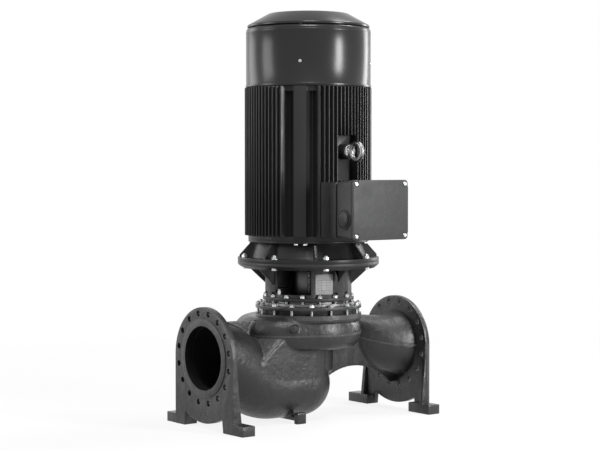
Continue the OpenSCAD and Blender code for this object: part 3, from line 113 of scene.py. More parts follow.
@dataclass(frozen=True)
class Finish:
    """One surface finish, made of noise at the scales that the real one shows."""

    name: str
    mark: Mark
    base: tuple[float, float, float, float]
    worn: tuple[float, float, float, float]
    metallic: float = 0.0
    rough_low: float = 0.4
    rough_high: float = 0.6
    grain: float = 0.002
    bump: float = 0.2
    wear: float = 0.5
    level: float = 0.5

    def material(self) -> bpy.types.Material:
        """Builds the node tree once and gives it back on later calls.

        Returns:
            The material of this finish.
        """
        made = bpy.data.materials.get(self.name)
        if made is not None:
            return made
        mat = bpy.data.materials.new(self.name)
        mat.use_nodes = True
        tree = mat.node_tree
        tree.nodes.clear()
        shader = tree.nodes.new("ShaderNodeBsdfPrincipled")
        out = tree.nodes.new("ShaderNodeOutputMaterial")
        tree.links.new(shader.outputs["BSDF"], out.inputs["Surface"])
        shader.inputs["Metallic"].default_value = self.metallic
        shader.inputs["Specular IOR Level"].default_value = self.level
        coords = tree.nodes.new("ShaderNodeTexCoord")
        self.colour(tree, shader, coords)
        self.roughness(tree, shader, coords)
        self.relief(tree, shader, coords)
        return mat

    def noise(self, tree: bpy.types.NodeTree, coords: bpy.types.Node, size: float,
              detail: float = 4.0, stretch: tuple[float, float, float] = (1.0, 1.0, 1.0)) -> bpy.types.Node:
        """Adds a noise texture whose lumps are about size metres wide.

        Args:
            tree: Node tree of the material.
            coords: Texture coordinate node.
            size: Width of a lump, in metres.
            detail: Octaves of the noise.
            stretch: Scale along each axis.

        Returns:
            The noise node.
        """
        mapping = tree.nodes.new("ShaderNodeMapping")
        mapping.inputs["Scale"].default_value = stretch
        tree.links.new(coords.outputs["Object"], mapping.inputs["Vector"])
        node = tree.nodes.new("ShaderNodeTexNoise")
        node.inputs["Scale"].default_value = 1.0 / size
        node.inputs["Detail"].default_value = detail
        tree.links.new(mapping.outputs["Vector"], node.inputs["Vector"])
        return node

    def ramp(self, tree: bpy.types.NodeTree, source: bpy.types.NodeSocket,
             low: tuple[float, float], high: tuple[float, float]) -> bpy.types.NodeSocket:
        """Maps a value range onto another and clamps it.

        Args:
            tree: Node tree of the material.
            source: Socket to read.
            low: Input and output at the low end.
            high: Input and output at the high end.

        Returns:
            The mapped value.
        """
        node = tree.nodes.new("ShaderNodeMapRange")
        node.inputs["From Min"].default_value = low[0]
        node.inputs["To Min"].default_value = low[1]
        node.inputs["From Max"].default_value = high[0]
        node.inputs["To Max"].default_value = high[1]
        tree.links.new(source, node.inputs["Value"])
        return node.outputs["Result"]

    def blend(self, tree: bpy.types.NodeTree, factor: bpy.types.NodeSocket,
              first: object, second: tuple[float, float, float, float]) -> bpy.types.NodeSocket:
        """Mixes two colours by a factor.

        Args:
            tree: Node tree of the material.
            factor: Socket with the share of the second colour.
            first: Colour or socket shown at 0.
            second: Colour shown at 1.

        Returns:
            The mixed colour.
        """
        node = tree.nodes.new("ShaderNodeMix")
        node.data_type = "RGBA"
        tree.links.new(factor, node.inputs["Factor"])
        if isinstance(first, tuple):
            node.inputs[6].default_value = first
        else:
            tree.links.new(first, node.inputs[6])
        node.inputs[7].default_value = second
        return node.outputs[2]

    def colour(self, tree: bpy.types.NodeTree, shader: bpy.types.Node, coords: bpy.types.Node) -> None:
        """Broad cloudy tone and paler worn edges.

        Args:
            tree: Node tree of the material.
            shader: Principled shader.
            coords: Texture coordinate node.
        """
        cloud = self.noise(tree, coords, self.grain * 60)
        darker = tuple(0.72 * c for c in self.base[:3]) + (1.0,)
        share = self.ramp(tree, cloud.outputs["Fac"], (0.35, 0.0), (0.7, 1.0))
        tone = self.blend(tree, share, self.base, darker)
        geometry = tree.nodes.new("ShaderNodeNewGeometry")
        edge = self.ramp(tree, geometry.outputs["Pointiness"], (0.53, 0.0), (0.60, self.wear))
        tone = self.blend(tree, edge, tone, self.worn)
        tree.links.new(tone, shader.inputs["Base Color"])

    def roughness(self, tree: bpy.types.NodeTree, shader: bpy.types.Node, coords: bpy.types.Node) -> None:
        """Roughness that changes from place to place.

        Args:
            tree: Node tree of the material.
            shader: Principled shader.
            coords: Texture coordinate node.
        """
        patch = self.noise(tree, coords, self.grain * 25, 3.0)
        value = self.ramp(tree, patch.outputs["Fac"], (0.3, self.rough_low), (0.7, self.rough_high))
        tree.links.new(value, shader.inputs["Roughness"])

    def relief(self, tree: bpy.types.NodeTree, shader: bpy.types.Node, coords: bpy.types.Node) -> None:
        """Bump at the grain's own size, with a second, broader swell on castings.

        Args:
            tree: Node tree of the material.
            shader: Principled shader.
            coords: Texture coordinate node.
        """
        stretch = (1.0, 1.0, 12.0) if self.mark is Mark.TURNED else (1.0, 1.0, 1.0)
        fine = self.noise(tree, coords, self.grain, 5.0, stretch)
        bump = tree.nodes.new("ShaderNodeBump")
        bump.inputs["Strength"].default_value = self.bump
        bump.inputs["Distance"].default_value = self.grain * 0.35
        tree.links.new(fine.outputs["Fac"], bump.inputs["Height"])
        if self.mark is Mark.CAST:
            swell = self.noise(tree, coords, self.grain * 9, 2.0)
            second = tree.nodes.new("ShaderNodeBump")
            second.inputs["Strength"].default_value = self.bump * 0.8
            second.inputs["Distance"].default_value = self.grain * 1.2
            tree.links.new(swell.outputs["Fac"], second.inputs["Height"])
            tree.links.new(bump.outputs["Normal"], second.inputs["Normal"])
            bump = second
        tree.links.new(bump.outputs["Normal"], shader.inputs["Normal"])


IRON = Finish("black_painted_cast_iron", Mark.CAST, rgb(0.026, 0.01), rgb(0.10), rough_low=0.22,
              rough_high=0.38, grain=0.006, bump=0.8, wear=0.7, level=0.42)
STOOL_IRON = Finish("stool_painted_iron", Mark.CAST, rgb(0.018, 0.01), rgb(0.06), rough_low=0.32,
                    rough_high=0.5, grain=0.0045, bump=0.5, wear=0.5, level=0.36)
MOTOR_PAINT = Finish("motor_grey_paint", Mark.CAST, rgb(0.021, 0.01), rgb(0.05), rough_low=0.28,
                     rough_high=0.4, grain=0.006, bump=0.1, wear=0.4, level=0.22)
SHEET_PAINT = Finish("fan_cover_satin_paint", Mark.SPRAYED, rgb(0.012, 0.01), rgb(0.03), rough_low=0.22,
                     rough_high=0.25, grain=0.005, bump=0.01, wear=0.0, level=0.34)
BOX_PAINT = Finish("terminal_box_textured_paint", Mark.CAST, rgb(0.034, 0.01), rgb(0.075), rough_low=0.46,
                   rough_high=0.6, grain=0.006, bump=0.35, wear=0.3, level=0.36)
BARE = Finish("machined_bare_iron", Mark.TURNED, rgb(0.14), rgb(0.3), metallic=1.0, rough_low=0.22,
              rough_high=0.42, grain=0.003, bump=0.3, wear=0.5)
FORGED = Finish("forged_eye_steel", Mark.CAST, rgb(0.26), rgb(0.45), metallic=1.0, rough_low=0.26,
                rough_high=0.42, grain=0.004, bump=0.15, wear=0.4)
COUPLING = Finish("blackened_coupling_steel", Mark.TURNED, rgb(0.09), rgb(0.2), metallic=1.0, rough_low=0.28,
                  rough_high=0.42, grain=0.003, bump=0.1, wear=0.4)
# Painted shade: a near-black, low-sheen finish for the port bore walls that stands in for the dark falling
# inside the bores.
BORE_SHADE = Finish("painted_bore_shade", Mark.CAST, rgb(0.006), rgb(0.012), rough_low=0.5, rough_high=0.65,
              grain=0.004, bump=0.3, wear=0.2, level=0.2)
PLATED = Finish("zinc_plated_fasteners", Mark.PLATED, rgb(0.5, 0.01), rgb(0.62), metallic=1.0, rough_low=0.25,
                rough_high=0.42, grain=0.0012, bump=0.08, wear=0.4)
TURNED = Finish("turned_shaft_steel", Mark.TURNED, rgb(0.42), rgb(0.55), metallic=1.0, rough_low=0.2,
                rough_high=0.34, grain=0.0008, bump=0.1, wear=0.3)
PLATE = Finish("blank_aluminium_plate", Mark.PLATED, rgb(0.16), rgb(0.3), metallic=0.85, rough_low=0.36,
               rough_high=0.5, grain=0.0012, bump=0.05, wear=0.2)
INK = Finish("plate_field_ink", Mark.MOULDED, rgb(0.03), rgb(0.05), rough_low=0.45, rough_high=0.55,
             grain=0.001, bump=0.02, wear=0.1)
BRONZE = Finish("cast_bronze", Mark.CAST, (0.36, 0.2, 0.08, 1.0), (0.5, 0.32, 0.16, 1.0), metallic=1.0,
                rough_low=0.3, rough_high=0.45, grain=0.003, bump=0.15, wear=0.4)
COPPER = Finish("varnished_copper_winding", Mark.MOULDED, (0.32, 0.12, 0.04, 1.0), (0.45, 0.2, 0.08, 1.0),
                metallic=0.6, rough_low=0.3, rough_high=0.45, grain=0.003, bump=0.4, wear=0.3)
LAMINATION = Finish("stacked_core_steel", Mark.TURNED, rgb(0.12), rgb(0.2), metallic=0.8, rough_low=0.4,
                    rough_high=0.55, grain=0.001, bump=0.3, wear=0.4)
RUBBER = Finish("black_rubber", Mark.MOULDED, rgb(0.006), rgb(0.015), rough_low=0.6, rough_high=0.75,
                grain=0.0015, bump=0.15, wear=0.3)
POLYMER = Finish("black_fan_polymer", Mark.MOULDED, rgb(0.01), rgb(0.02), rough_low=0.45, rough_high=0.6,
                 grain=0.0015, bump=0.12, wear=0.3)
BOARD = Finish("moulded_terminal_board", Mark.MOULDED, (0.16, 0.05, 0.02, 1.0), (0.25, 0.1, 0.05, 1.0),
               rough_low=0.4, rough_high=0.55, grain=0.002, bump=0.15, wear=0.3)
CARBON = Finish("seal_carbon", Mark.TURNED, rgb(0.02), rgb(0.04), rough_low=0.25, rough_high=0.35,
                grain=0.001, bump=0.05, wear=0.2)

SLOT_FINISH: dict[str, Finish] = {
    "casing_iron": IRON,
    "stool_iron": STOOL_IRON,
    "motor_paint": MOTOR_PAINT,
    "cowl_paint": SHEET_PAINT,
    "fastener_steel": PLATED,
    "shaft_steel": TURNED,
    "plate_metal": PLATE,
    "bronze": BRONZE,
    "core_steel": LAMINATION,
    "winding": COPPER,
    "rubber": RUBBER,
    "seal_carbon": CARBON,
    "fan_plastic": POLYMER,
    "board": BOARD,
}


def deselect() -> None:
    """Leaves edit mode and deselects everything, because an operator acts on all that is selected."""
    if bpy.context.object is not None and bpy.context.object.mode != "OBJECT":
        bpy.ops.object.mode_set(mode="OBJECT")
    bpy.ops.object.select_all(action="DESELECT")


def pick(piece: bpy.types.Object) -> None:
    """Selects one piece alone and makes it active.

    Args:
        piece: The piece that the next operators work on.
    """
    deselect()
    piece.select_set(True)
    bpy.context.view_layer.objects.active = piece


def apply(piece: bpy.types.Object, kind: str, **settings: object) -> None:
    """Adds a modifier and applies it.

    Args:
        piece: The piece that is changed.
        kind: Blender's name of the modifier type.
        **settings: Values of the modifier.
    """
    pick(piece)
    modifier = piece.modifiers.new(kind.lower(), kind)
    for key, value in settings.items():
        setattr(modifier, key, value)
    bpy.ops.object.modifier_apply(modifier=modifier.name)


def settle(piece: bpy.types.Object, name: str, angle: float = 35.0) -> bpy.types.Object:
    """Puts a piece's place into its mesh, turns its faces outwards and smooths it by angle.

    Args:
        piece: The finished piece.
        name: Its name.
        angle: Edges sharper than this stay sharp, in degrees.

    Returns:
        The same piece.
    """
    pick(piece)
    bpy.ops.object.transform_apply(location=True, rotation=True, scale=True)
    bpy.ops.object.mode_set(mode="EDIT")
    bpy.ops.mesh.select_all(action="SELECT")
    bpy.ops.mesh.normals_make_consistent(inside=False)
    bpy.ops.object.mode_set(mode="OBJECT")
    bpy.ops.object.shade_smooth_by_angle(angle=math.radians(angle))
    piece.name = name
    piece.data.name = name
    return piece


def join(pieces: list[bpy.types.Object]) -> bpy.types.Object:
    """Joins pieces into the first one.

    Args:
        pieces: Two or more pieces.

    Returns:
        The joined piece.
    """
    if len(pieces) == 1:
        return pieces[0]
    deselect()
    for piece in pieces:
        piece.select_set(True)
    bpy.context.view_layer.objects.active = pieces[0]
    bpy.ops.object.join()
    return pieces[0]


def carve(body: bpy.types.Object, tool: bpy.types.Object, how: str = "DIFFERENCE") -> None:
    """Cuts a tool out of a body, or adds it, and removes the tool.

    Args:
        body: The piece that stays.
        tool: The closed piece that is used up.
        how: Boolean operation.
    """
    apply(body, "BOOLEAN", operation=how, object=tool, solver="EXACT")
    bpy.data.objects.remove(tool, do_unlink=True)


def ease(piece: bpy.types.Object, width: float, segments: int = 2) -> None:
    """Rounds the sharp edges of a piece.

    Args:
        piece: The piece that is changed.
        width: Width of the rounding.
        segments: Facets across it.
    """
    apply(piece, "BEVEL", width=width, segments=segments, limit_method="ANGLE",
          angle_limit=math.radians(EASE_ANGLE))


def loft(rings: list[list[Vector]]) -> bpy.types.Object:
    """Grows a closed skin ring by ring, each ring extruded from the last and then set in place.

    Args:
        rings: Rings with the same number of points.

    Returns:
        The skin.
    """
    deselect()
    bpy.ops.mesh.primitive_circle_add(vertices=len(rings[0]), radius=1.0, fill_type="NGON")
    skin = bpy.context.object
    bpy.ops.object.mode_set(mode="EDIT")
    mesh = bmesh.from_edit_mesh(skin.data)
    slot = mesh.verts.layers.int.new("slot")
    mesh.verts.ensure_lookup_table()
    for i, vert in enumerate(mesh.verts):
        vert[slot] = i
        vert.co = rings[0][i]
    bmesh.update_edit_mesh(skin.data)
    for ring in rings[1:]:
        bpy.ops.mesh.extrude_region_move()
        mesh = bmesh.from_edit_mesh(skin.data)
        slot = mesh.verts.layers.int["slot"]
        for vert in mesh.verts:
            if vert.select:
                vert.co = ring[vert[slot]]
        bmesh.update_edit_mesh(skin.data)
    mesh.verts.layers.int.remove(mesh.verts.layers.int["slot"])
    bpy.ops.mesh.select_all(action="SELECT")
    bpy.ops.mesh.normals_make_consistent(inside=False)
    bpy.ops.object.mode_set(mode="OBJECT")
    return skin


def slab(outline: list[tuple[float, float]], depth: float, place: Matrix) -> bpy.types.Object:
    """Extrudes a flat outline and sets it in place.

    Args:
        outline: Points in the slab's own X and Y.
        depth: Thickness along the slab's own Z.
        place: Where the slab goes.

    Returns:
        The slab.
    """
    low = [place @ Vector((x, y, 0.0)) for x, y in outline]
    high = [place @ Vector((x, y, depth)) for x, y in outline]
    return loft([low, high])


def drum(radius: float, low: tuple[float, float, float], length: float, axis: str = "Z",
         sides: int = 96) -> bpy.types.Object:
    """Adds a round bar from one end along an axis.

    Args:
        radius: Radius of the bar.
        low: Centre of its lower end.
        length: Length along the axis.
        axis: X, Y or Z.
        sides: Facets round the bar.

    Returns:
        The bar.
    """
    turn = {"X": (0.0, math.pi / 2, 0.0), "Y": (-math.pi / 2, 0.0, 0.0), "Z": (0.0, 0.0, 0.0)}[axis]
    step = {"X": Vector((1, 0, 0)), "Y": Vector((0, 1, 0)), "Z": Vector((0, 0, 1))}[axis]
    deselect()
    bpy.ops.mesh.primitive_cylinder_add(vertices=sides, radius=radius, depth=length, rotation=turn,
                                        location=Vector(low) + step * length / 2)
    bar = bpy.context.object
    bpy.ops.object.transform_apply(location=True, rotation=True, scale=True)
    return bar


def polar(radius: float, angle: float) -> tuple[float, float]:
    """Turns a radius and an angle in degrees into X and Y."""
    return (radius * math.cos(math.radians(angle)), radius * math.sin(math.radians(angle)))


def rectangle(x_low: float, y_low: float, x_high: float, y_high: float) -> list[tuple[float, float]]:
    """Gives the four corners of a rectangle."""
    return [(x_low, y_low), (x_high, y_low), (x_high, y_high), (x_low, y_high)]


def turned(levels: list[tuple[float, float]], sides: int, axis_x: float = 0.0) -> bpy.types.Object:
    """Turns a profile round an upright axis.

    Args:
        levels: Radius and height of each ring.
        sides: Points on each ring.
        axis_x: Where the axis stands.

    Returns:
        The closed body.
    """
    return loft([[Vector((axis_x + x, y, z)) for x, y in
                  (polar(r, 360.0 * i / sides) for i in range(sides))] for r, z in levels])


def upright_frame(half: float) -> Matrix:
    """Stands a slab up along X, so that its thickness is centred on Y = 0."""
    return Matrix.Translation((0.0, half, 0.0)) @ Matrix.Rotation(math.pi / 2, 4, "X")


def gauge_axis() -> Matrix:
    """Gives the axis of the gauge boss, with X pointing out of the volute."""
    return (Matrix.Translation((SHAFT_X, 0.0, VOLUTE_Z + GAUGE_RISE))
            @ Matrix.Rotation(math.radians(GAUGE_TURN), 4, "Z"))


def show(piece: bpy.types.Object, body: str, slot: str, *nodes: str) -> bpy.types.Object:
    """Rides a piece on a body, gives it its slot and finish, and hides the nodes it stands for.

    Args:
        piece: The finished piece.
        body: CAD body it moves with.
        slot: Material slot of the record.
        *nodes: CAD nodes that it replaces.

    Returns:
        The same piece.
    """
    piece.data.materials.clear()
    piece.data.materials.append(SLOT_FINISH[slot].material())
    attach(piece, body)
    for node in nodes:
        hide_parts(node)
    LOG.info("%s: %d faces", piece.name, len(piece.data.polygons))
    return piece


def tint(piece: bpy.types.Object, finish: Finish, where: Callable[[Vector, Vector], bool]) -> None:
    """Gives the faces that a test picks a finish of their own.

    Args:
        piece: A shown piece.
        finish: Finish for the picked faces.
        where: Test on a face's centre and normal.
    """
    piece.data.materials.append(finish.material())
    last = len(piece.data.materials) - 1
    for face in piece.data.polygons:
        if where(face.center, face.normal):
            face.material_index = last


@dataclass
class Studio:
    """Camera, lamps, floor and backdrop: nothing here is part of the pump."""

    lens: float = 97.715
    eye: tuple[float, float, float] = (-5.6016, -7.3146, 1.4205)
    aim: tuple[float, float, float] = (-0.0374, 0.0, 1.0939)
    floor_half: float = 60.0
    floor_white: float = 0.84
    floor_plain: tuple[float, float] = (1.6, 5.0)
    soft_light: float = 0.20
    middle_z: float = 1.1

    def build(self) -> None:
        """Puts up the camera, the light and the floor."""
        scene = bpy.context.scene
        scene.view_settings.view_transform = "Standard"
        self.camera(scene)
        self.world(scene)
        self.lamps(scene)
        self.floor()

    def camera(self, scene: bpy.types.Scene) -> None:
        """Adds the camera at the photograph's view.

        Args:
            scene: The scene that gets the camera.
        """
        data = bpy.data.cameras.new("view")
        data.lens = self.lens
        data.sensor_width = 36.0
        data.sensor_fit = "HORIZONTAL"
        data.clip_end = 200.0
        camera = bpy.data.objects.new("view", data)
        camera.location = self.eye
        way = Vector(self.aim) - Vector(self.eye)
        camera.rotation_euler = way.to_track_quat("-Z", "Y").to_euler()
        scene.collection.objects.link(camera)
        scene.camera = camera

    def white_for_view(self, tree: bpy.types.NodeTree, plain: bpy.types.NodeSocket,
                       white: bpy.types.NodeSocket) -> bpy.types.NodeSocket:
        """Shows white to the view and to mirror-like surfaces, and the plain shader to all else.

        Args:
            tree: Node tree of the world or material.
            plain: Shader that lights the object.
            white: Shader that is seen.

        Returns:
            The mixed shader.
        """
        path = tree.nodes.new("ShaderNodeLightPath")
        share = path.outputs["Is Camera Ray"]
        for ray in ("Is Glossy Ray", "Is Transmission Ray"):
            add = tree.nodes.new("ShaderNodeMath")
            add.operation = "MAXIMUM"
            tree.links.new(share, add.inputs[0])
            tree.links.new(path.outputs[ray], add.inputs[1])
            share = add.outputs[0]
        mix = tree.nodes.new("ShaderNodeMixShader")
        tree.links.new(share, mix.inputs[0])
        tree.links.new(plain, mix.inputs[1])
        tree.links.new(white, mix.inputs[2])
        return mix.outputs[0]

    def world(self, scene: bpy.types.Scene) -> None:
        """Even soft light from all round, white behind the object.

        Args:
            scene: The scene that gets the world.
        """
        world = bpy.data.worlds.new("studio")
        world.use_nodes = True
        scene.world = world
        tree = world.node_tree
        tree.nodes.clear()
        soft = tree.nodes.new("ShaderNodeBackground")
        soft.inputs["Color"].default_value = (1.0, 1.0, 1.0, 1.0)
        soft.inputs["Strength"].default_value = self.soft_light
        seen = tree.nodes.new("ShaderNodeBackground")
        seen.inputs["Color"].default_value = (1.0, 1.0, 1.0, 1.0)
        seen.inputs["Strength"].default_value = 1.0
        out = tree.nodes.new("ShaderNodeOutputWorld")
        shader = self.white_for_view(tree, soft.outputs[0], seen.outputs[0])
        tree.links.new(shader, out.inputs["Surface"])

    def lamp(self, scene: bpy.types.Scene, name: str, place: tuple[float, float, float],
             size: tuple[float, float], power: float) -> None:
        """Adds one soft box that looks at the middle of the pump.

        Args:
            scene: The scene that gets the lamp.
            name: Name of the lamp.
            place: Where it stands, in metres.
            size: Width and height of its face.
            power: Watts.
        """
        data = bpy.data.lights.new(name, "AREA")
        data.shape = "RECTANGLE"
        data.size, data.size_y = size
        data.energy = power
        lamp = bpy.data.objects.new(name, data)
        lamp.location = place
        way = Vector((0.0, 0.0, self.middle_z)) - Vector(place)
        lamp.rotation_euler = way.to_track_quat("-Z", "Y").to_euler()
        scene.collection.objects.link(lamp)

    def lamps(self, scene: bpy.types.Scene) -> None:
        """Places the soft boxes.

        Args:
            scene: The scene that gets the lamps.
        """
        self.lamp(scene, "key", (1.8, -5.2, 2.3), (1.1, 3.2), 320.0)
        self.lamp(scene, "fill", (-5.2, 2.6, 2.6), (2.2, 3.6), 125.0)
        self.lamp(scene, "top", (-1.6, -2.4, 6.2), (1.6, 1.6), 170.0)
        self.lamp(scene, "back", (2.6, -0.2, 5.8), (1.4, 1.4), 130.0)
        self.lamp(scene, "rim", (5.0, 0.2, 2.2), (1.2, 3.2), 90.0)
        self.lamp(scene, "rear", (-1.8, 5.4, 2.8), (2.4, 3.0), 50.0)

    def floor(self) -> None:
        """Adds a wide white floor that keeps the pump's shadow."""
        half = self.floor_half
        mesh = bpy.data.meshes.new("floor")
        mesh.from_pydata([(-half, -half, 0.0), (half, -half, 0.0), (half, half, 0.0), (-half, half, 0.0)], [],
                         [(0, 1, 2, 3)])
        floor = bpy.data.objects.new("floor", mesh)
        bpy.context.scene.collection.objects.link(floor)
        mat = bpy.data.materials.new("pale_floor")
        mat.use_nodes = True
        tree = mat.node_tree
        shader = tree.nodes["Principled BSDF"]
        shader.inputs["Base Color"].default_value = (0.86, 0.86, 0.86, 1.0)
        shader.inputs["Roughness"].default_value = 0.9
        shader.inputs["Specular IOR Level"].default_value = 0.0
        bounce = tree.nodes.new("ShaderNodeBsdfDiffuse")
        bounce.inputs["Color"].default_value = (0.20, 0.20, 0.20, 1.0)
        glow = tree.nodes.new("ShaderNodeEmission")
        veil = tree.nodes.new("ShaderNodeMixShader")
        coords = tree.nodes.new("ShaderNodeTexCoord")
        reach = tree.nodes.new("ShaderNodeVectorMath")
        reach.operation = "LENGTH"
        fade = tree.nodes.new("ShaderNodeMapRange")
        fade.interpolation_type = "SMOOTHSTEP"
        fade.inputs["From Min"].default_value, fade.inputs["From Max"].default_value = self.floor_plain
        fade.inputs["To Min"].default_value, fade.inputs["To Max"].default_value = self.floor_white, 1.0
        tree.links.new(coords.outputs["Object"], reach.inputs[0])
        tree.links.new(reach.outputs["Value"], fade.inputs["Value"])
        tree.links.new(fade.outputs["Result"], veil.inputs[0])
        tree.links.new(shader.outputs[0], veil.inputs[1])
        tree.links.new(glow.outputs[0], veil.inputs[2])
        seen = self.white_for_view(tree, bounce.outputs[0], veil.outputs[0])
        tree.links.new(seen, tree.nodes["Material Output"].inputs["Surface"])
        mesh.materials.append(mat)


@dataclass
class FrameDress:
    """Gives every node of the CAD frame its finish."""

    frame: dict

    def build(self) -> None:
        """Assigns the finish of each node's slot."""
        slots = {part["node"]: part["material_slot"] for part in self.frame["record"]["subparts"]}
        for name, node in self.frame["nodes"].items():
            finish = PLATED if name == "vent_screw" else SLOT_FINISH[slots[name]]
            node.data.materials.clear()
            node.data.materials.append(finish.material())
        LOG.info("dressed %d nodes", len(slots))


@dataclass
class Casing:
    """The volute casing: cast passages grown as skins, remeshed into one casting, with machined flanges."""

    tongue_r: float = 0.297
    growth: float = 0.132
    up: float = 0.097
    down: float = 0.084
    wall: float = 0.014
    chamber_half: float = 0.182
    chamber_x: float = -0.055
    chamber_z: float = 0.203
    seat_r: float = 0.300
    mouth_r: float = 0.258
    flange_back: float = 0.664
    flange_face: float = 0.700
    raised_h: float = 0.004
    voxel: float = 0.005
    tongue_a: float = 327.0
    outlet_turn: float = 274.0
    fade_turn: float = 56.0
    eye_r: float = 0.112
    plate_half: float = 0.2775
    belly_r: float = 0.354
    foot_gap: float = 0.374
    foot_span: float = 0.730
    ridge: tuple[tuple[float, float], tuple[float, float]] = ((-0.462, 0.328), (-0.229, 0.475))
    raised_r: float = 0.215
    bolt_circle_r: float = 0.245
    bolt_hole_r: float = 0.0165
    bore_r: float = 0.175
    bore_reach: float = 0.179
    liner_r: float = 0.172
    duct_start_r: float = 0.080
    duct_end_r: float = 0.197
    foot_l: float = 0.085
    foot_h: float = 0.055
    foot_hole_y: float = 0.320
    foot_hole_r: float = 0.010
    rib_w: float = 0.024
    web_half: float = 0.010
    lug_place: tuple[float, float] = (-0.169, 0.175)
    lug_half: tuple[float, float] = (0.031, 0.017)
    lug_h: float = 0.064
    lug_web: tuple[float, float, float, float] = (-0.182, -0.165, -0.156, 0.165)
    lug_web_low: float = 0.012
    lug_web_h: float = 0.032
    boss_r: float = 0.022
    drain_boss_l: float = 0.012

    def build(self) -> None:
        """Builds the casting with its flanges."""
        casting = self.casting()
        for side in (-1, 1):
            carve(casting, self.flange(side), "UNION")
        carve(casting, drum(self.seat_r, (SHAFT_X, 0.0, 0.575), SEAT_Z - 0.575, sides=160), "UNION")
        carve(casting, self.parting_lip(), "UNION")
        carve(casting, self.seam(), "UNION")
        carve(casting, self.hollow(), "DIFFERENCE")
        show(settle(casting, "casing_casting", 32.0), "housing", "casing_iron", "pump_casing")
        # Painted shade: the bore walls get the near-black bore finish in place of the dark that falls inside
        # them.
        tint(casting, BORE_SHADE, self.in_bore)

    def in_bore(self, centre: Vector, normal: Vector) -> bool:
        """Tells whether a face lies on the wall of a port bore.

        Args:
            centre: Centre of the face.
            normal: Its direction.

        Returns:
            True on the wall of a bore.
        """
        drop = centre.z - PORT_Z
        inward = normal.y * centre.y + normal.z * drop < 0
        near = abs(centre.x) > 0.45 and math.hypot(centre.y, drop) < self.bore_reach
        return near and inward and abs(normal.x) < 0.9

    def parting_lip(self) -> bpy.types.Object:
        """Makes the raised line where the two halves of the mould met."""
        ring = [(p.x, p.y) for p in self.rim(0.0, -0.003, 160)]
        return slab(ring, 0.010, Matrix.Translation((0.0, 0.0, VOLUTE_Z - 0.005)))

    def seam(self) -> bpy.types.Object:
        """Runs the same mould line along both sides of the discharge duct, as one flat blade.

        Returns:
            The blade.
        """
        path = self.duct_path()
        rings = []
        for k in range(5, 23):
            point, way = self.curve(path, k / 22)
            along = way.normalized()
            side = Vector((-along.y, along.x, 0.0)).normalized()
            top = along.cross(side)
            half = self.duct_start_r + (self.duct_end_r - self.duct_start_r) * (k / 22) ** 1.5 + 0.003
            rings.append([point + half * a * side + 0.0045 * b * top
                          for a, b in ((-1, -1), (1, -1), (1, 1), (-1, 1))])
        return loft(rings)

    def skirt(self) -> bpy.types.Object:
        """Fills the corner between the chamber's ridge and the volute's lip with one leaning plane.

        Returns:
            The closed wedge.
        """
        half = self.chamber_half
        lip = VOLUTE_Z - 0.006
        points = [Vector((x, -half, z)) for x, z in self.ridge]
        points += [Vector((self.ridge[0][0], 0.0, 0.300)), Vector((-0.100, 0.0, 0.300)),
                   Vector((-0.100, -half, 0.300)), Vector((-0.200, 0.0, lip)), Vector((-0.200, -half, lip))]
        for angle in range(174, 229, 3):
            radius = self.tongue_r + self.growth * self.swell(self.tongue_a - angle) - 0.004
            x, y = polar(radius, angle)
            points.append(Vector((SHAFT_X + x, max(y, -half), lip)))
        mesh = bpy.data.meshes.new("skirt")
        mesh.from_pydata([tuple(p) for p in points], [], [])
        body = bpy.data.objects.new("skirt", mesh)
        bpy.context.scene.collection.objects.link(body)
        pick(body)
        bpy.ops.object.mode_set(mode="EDIT")
        bpy.ops.mesh.select_all(action="SELECT")
        bpy.ops.mesh.convex_hull()
        bpy.ops.object.mode_set(mode="OBJECT")
        return body

    def swell(self, turn: float) -> float:
        """Gives the share of the volute's growth at an angle past the tongue.

        Args:
            turn: Degrees past the tongue.

        Returns:
            A share from 0 to 1.
        """
        if turn < self.outlet_turn:
            step = min(max((turn - 85.0) / 70.0, 0.0), 1.0)
            return 0.9 * step * step * (3 - 2 * step) + 0.1 * turn / self.outlet_turn
        if turn > self.outlet_turn + self.fade_turn:
            return 0.0
        return math.cos(math.radians((turn - self.outlet_turn) / self.fade_turn * 90)) ** 2

    def rim(self, level: float, inset: float, count: int) -> list[Vector]:
        """Gives a level outline of the volute.

        Args:
            level: Angle on the rounded rim, in degrees, 0 at the parting plane.
            inset: Distance inside the outer skin.
            count: Points on the outline.

        Returns:
            The outline's points.
        """
        height = (self.up if level > 0 else self.down) - inset
        points = []
        for i in range(count):
            turn = 360.0 * i / count
            share = self.swell(turn)
            soft = 0.056 + 0.034 * share - inset
            radius = self.tongue_r + self.growth * share - inset - soft * (1 - math.cos(math.radians(level)))
            x, y = polar(radius, self.tongue_a - turn)
            points.append(Vector((SHAFT_X + x, y, VOLUTE_Z + height * math.sin(math.radians(level)))))
        return points

    def volute(self, inset: float, count: int, steps: int) -> bpy.types.Object:
        """Grows the volute from its lowest to its highest outline."""
        return loft([self.rim(90.0 * k / steps, inset, count) for k in range(-steps, steps + 1)])

    def ring(self, centre: Vector, way: Vector, radius: float, count: int) -> list[Vector]:
        """Gives a ring of points square to a direction.

        Args:
            centre: Centre of the ring.
            way: Direction that it is square to.
            radius: Its radius.
            count: Its points.

        Returns:
            The ring's points.
        """
        along = way.normalized()
        side = Vector((-along.y, along.x, 0.0)).normalized()
        top = along.cross(side)
        turns = [math.tau * i / count for i in range(count)]
        return [centre + radius * (math.cos(turn) * side + math.sin(turn) * top) for turn in turns]

    def curve(self, path: list[Vector], t: float) -> tuple[Vector, Vector]:
        """Gives the point and the direction at a share of a curve with four control points.

        Args:
            path: The four control points.
            t: Share of the curve, from 0 to 1.

        Returns:
            The point and the direction.
        """
        a, b, c, d = path
        s = 1 - t
        point = a * s ** 3 + 3 * b * t * s * s + 3 * c * t * t * s + d * t ** 3
        way = (b - a) * s * s + 2 * (c - b) * t * s + (d - c) * t * t
        return point, way

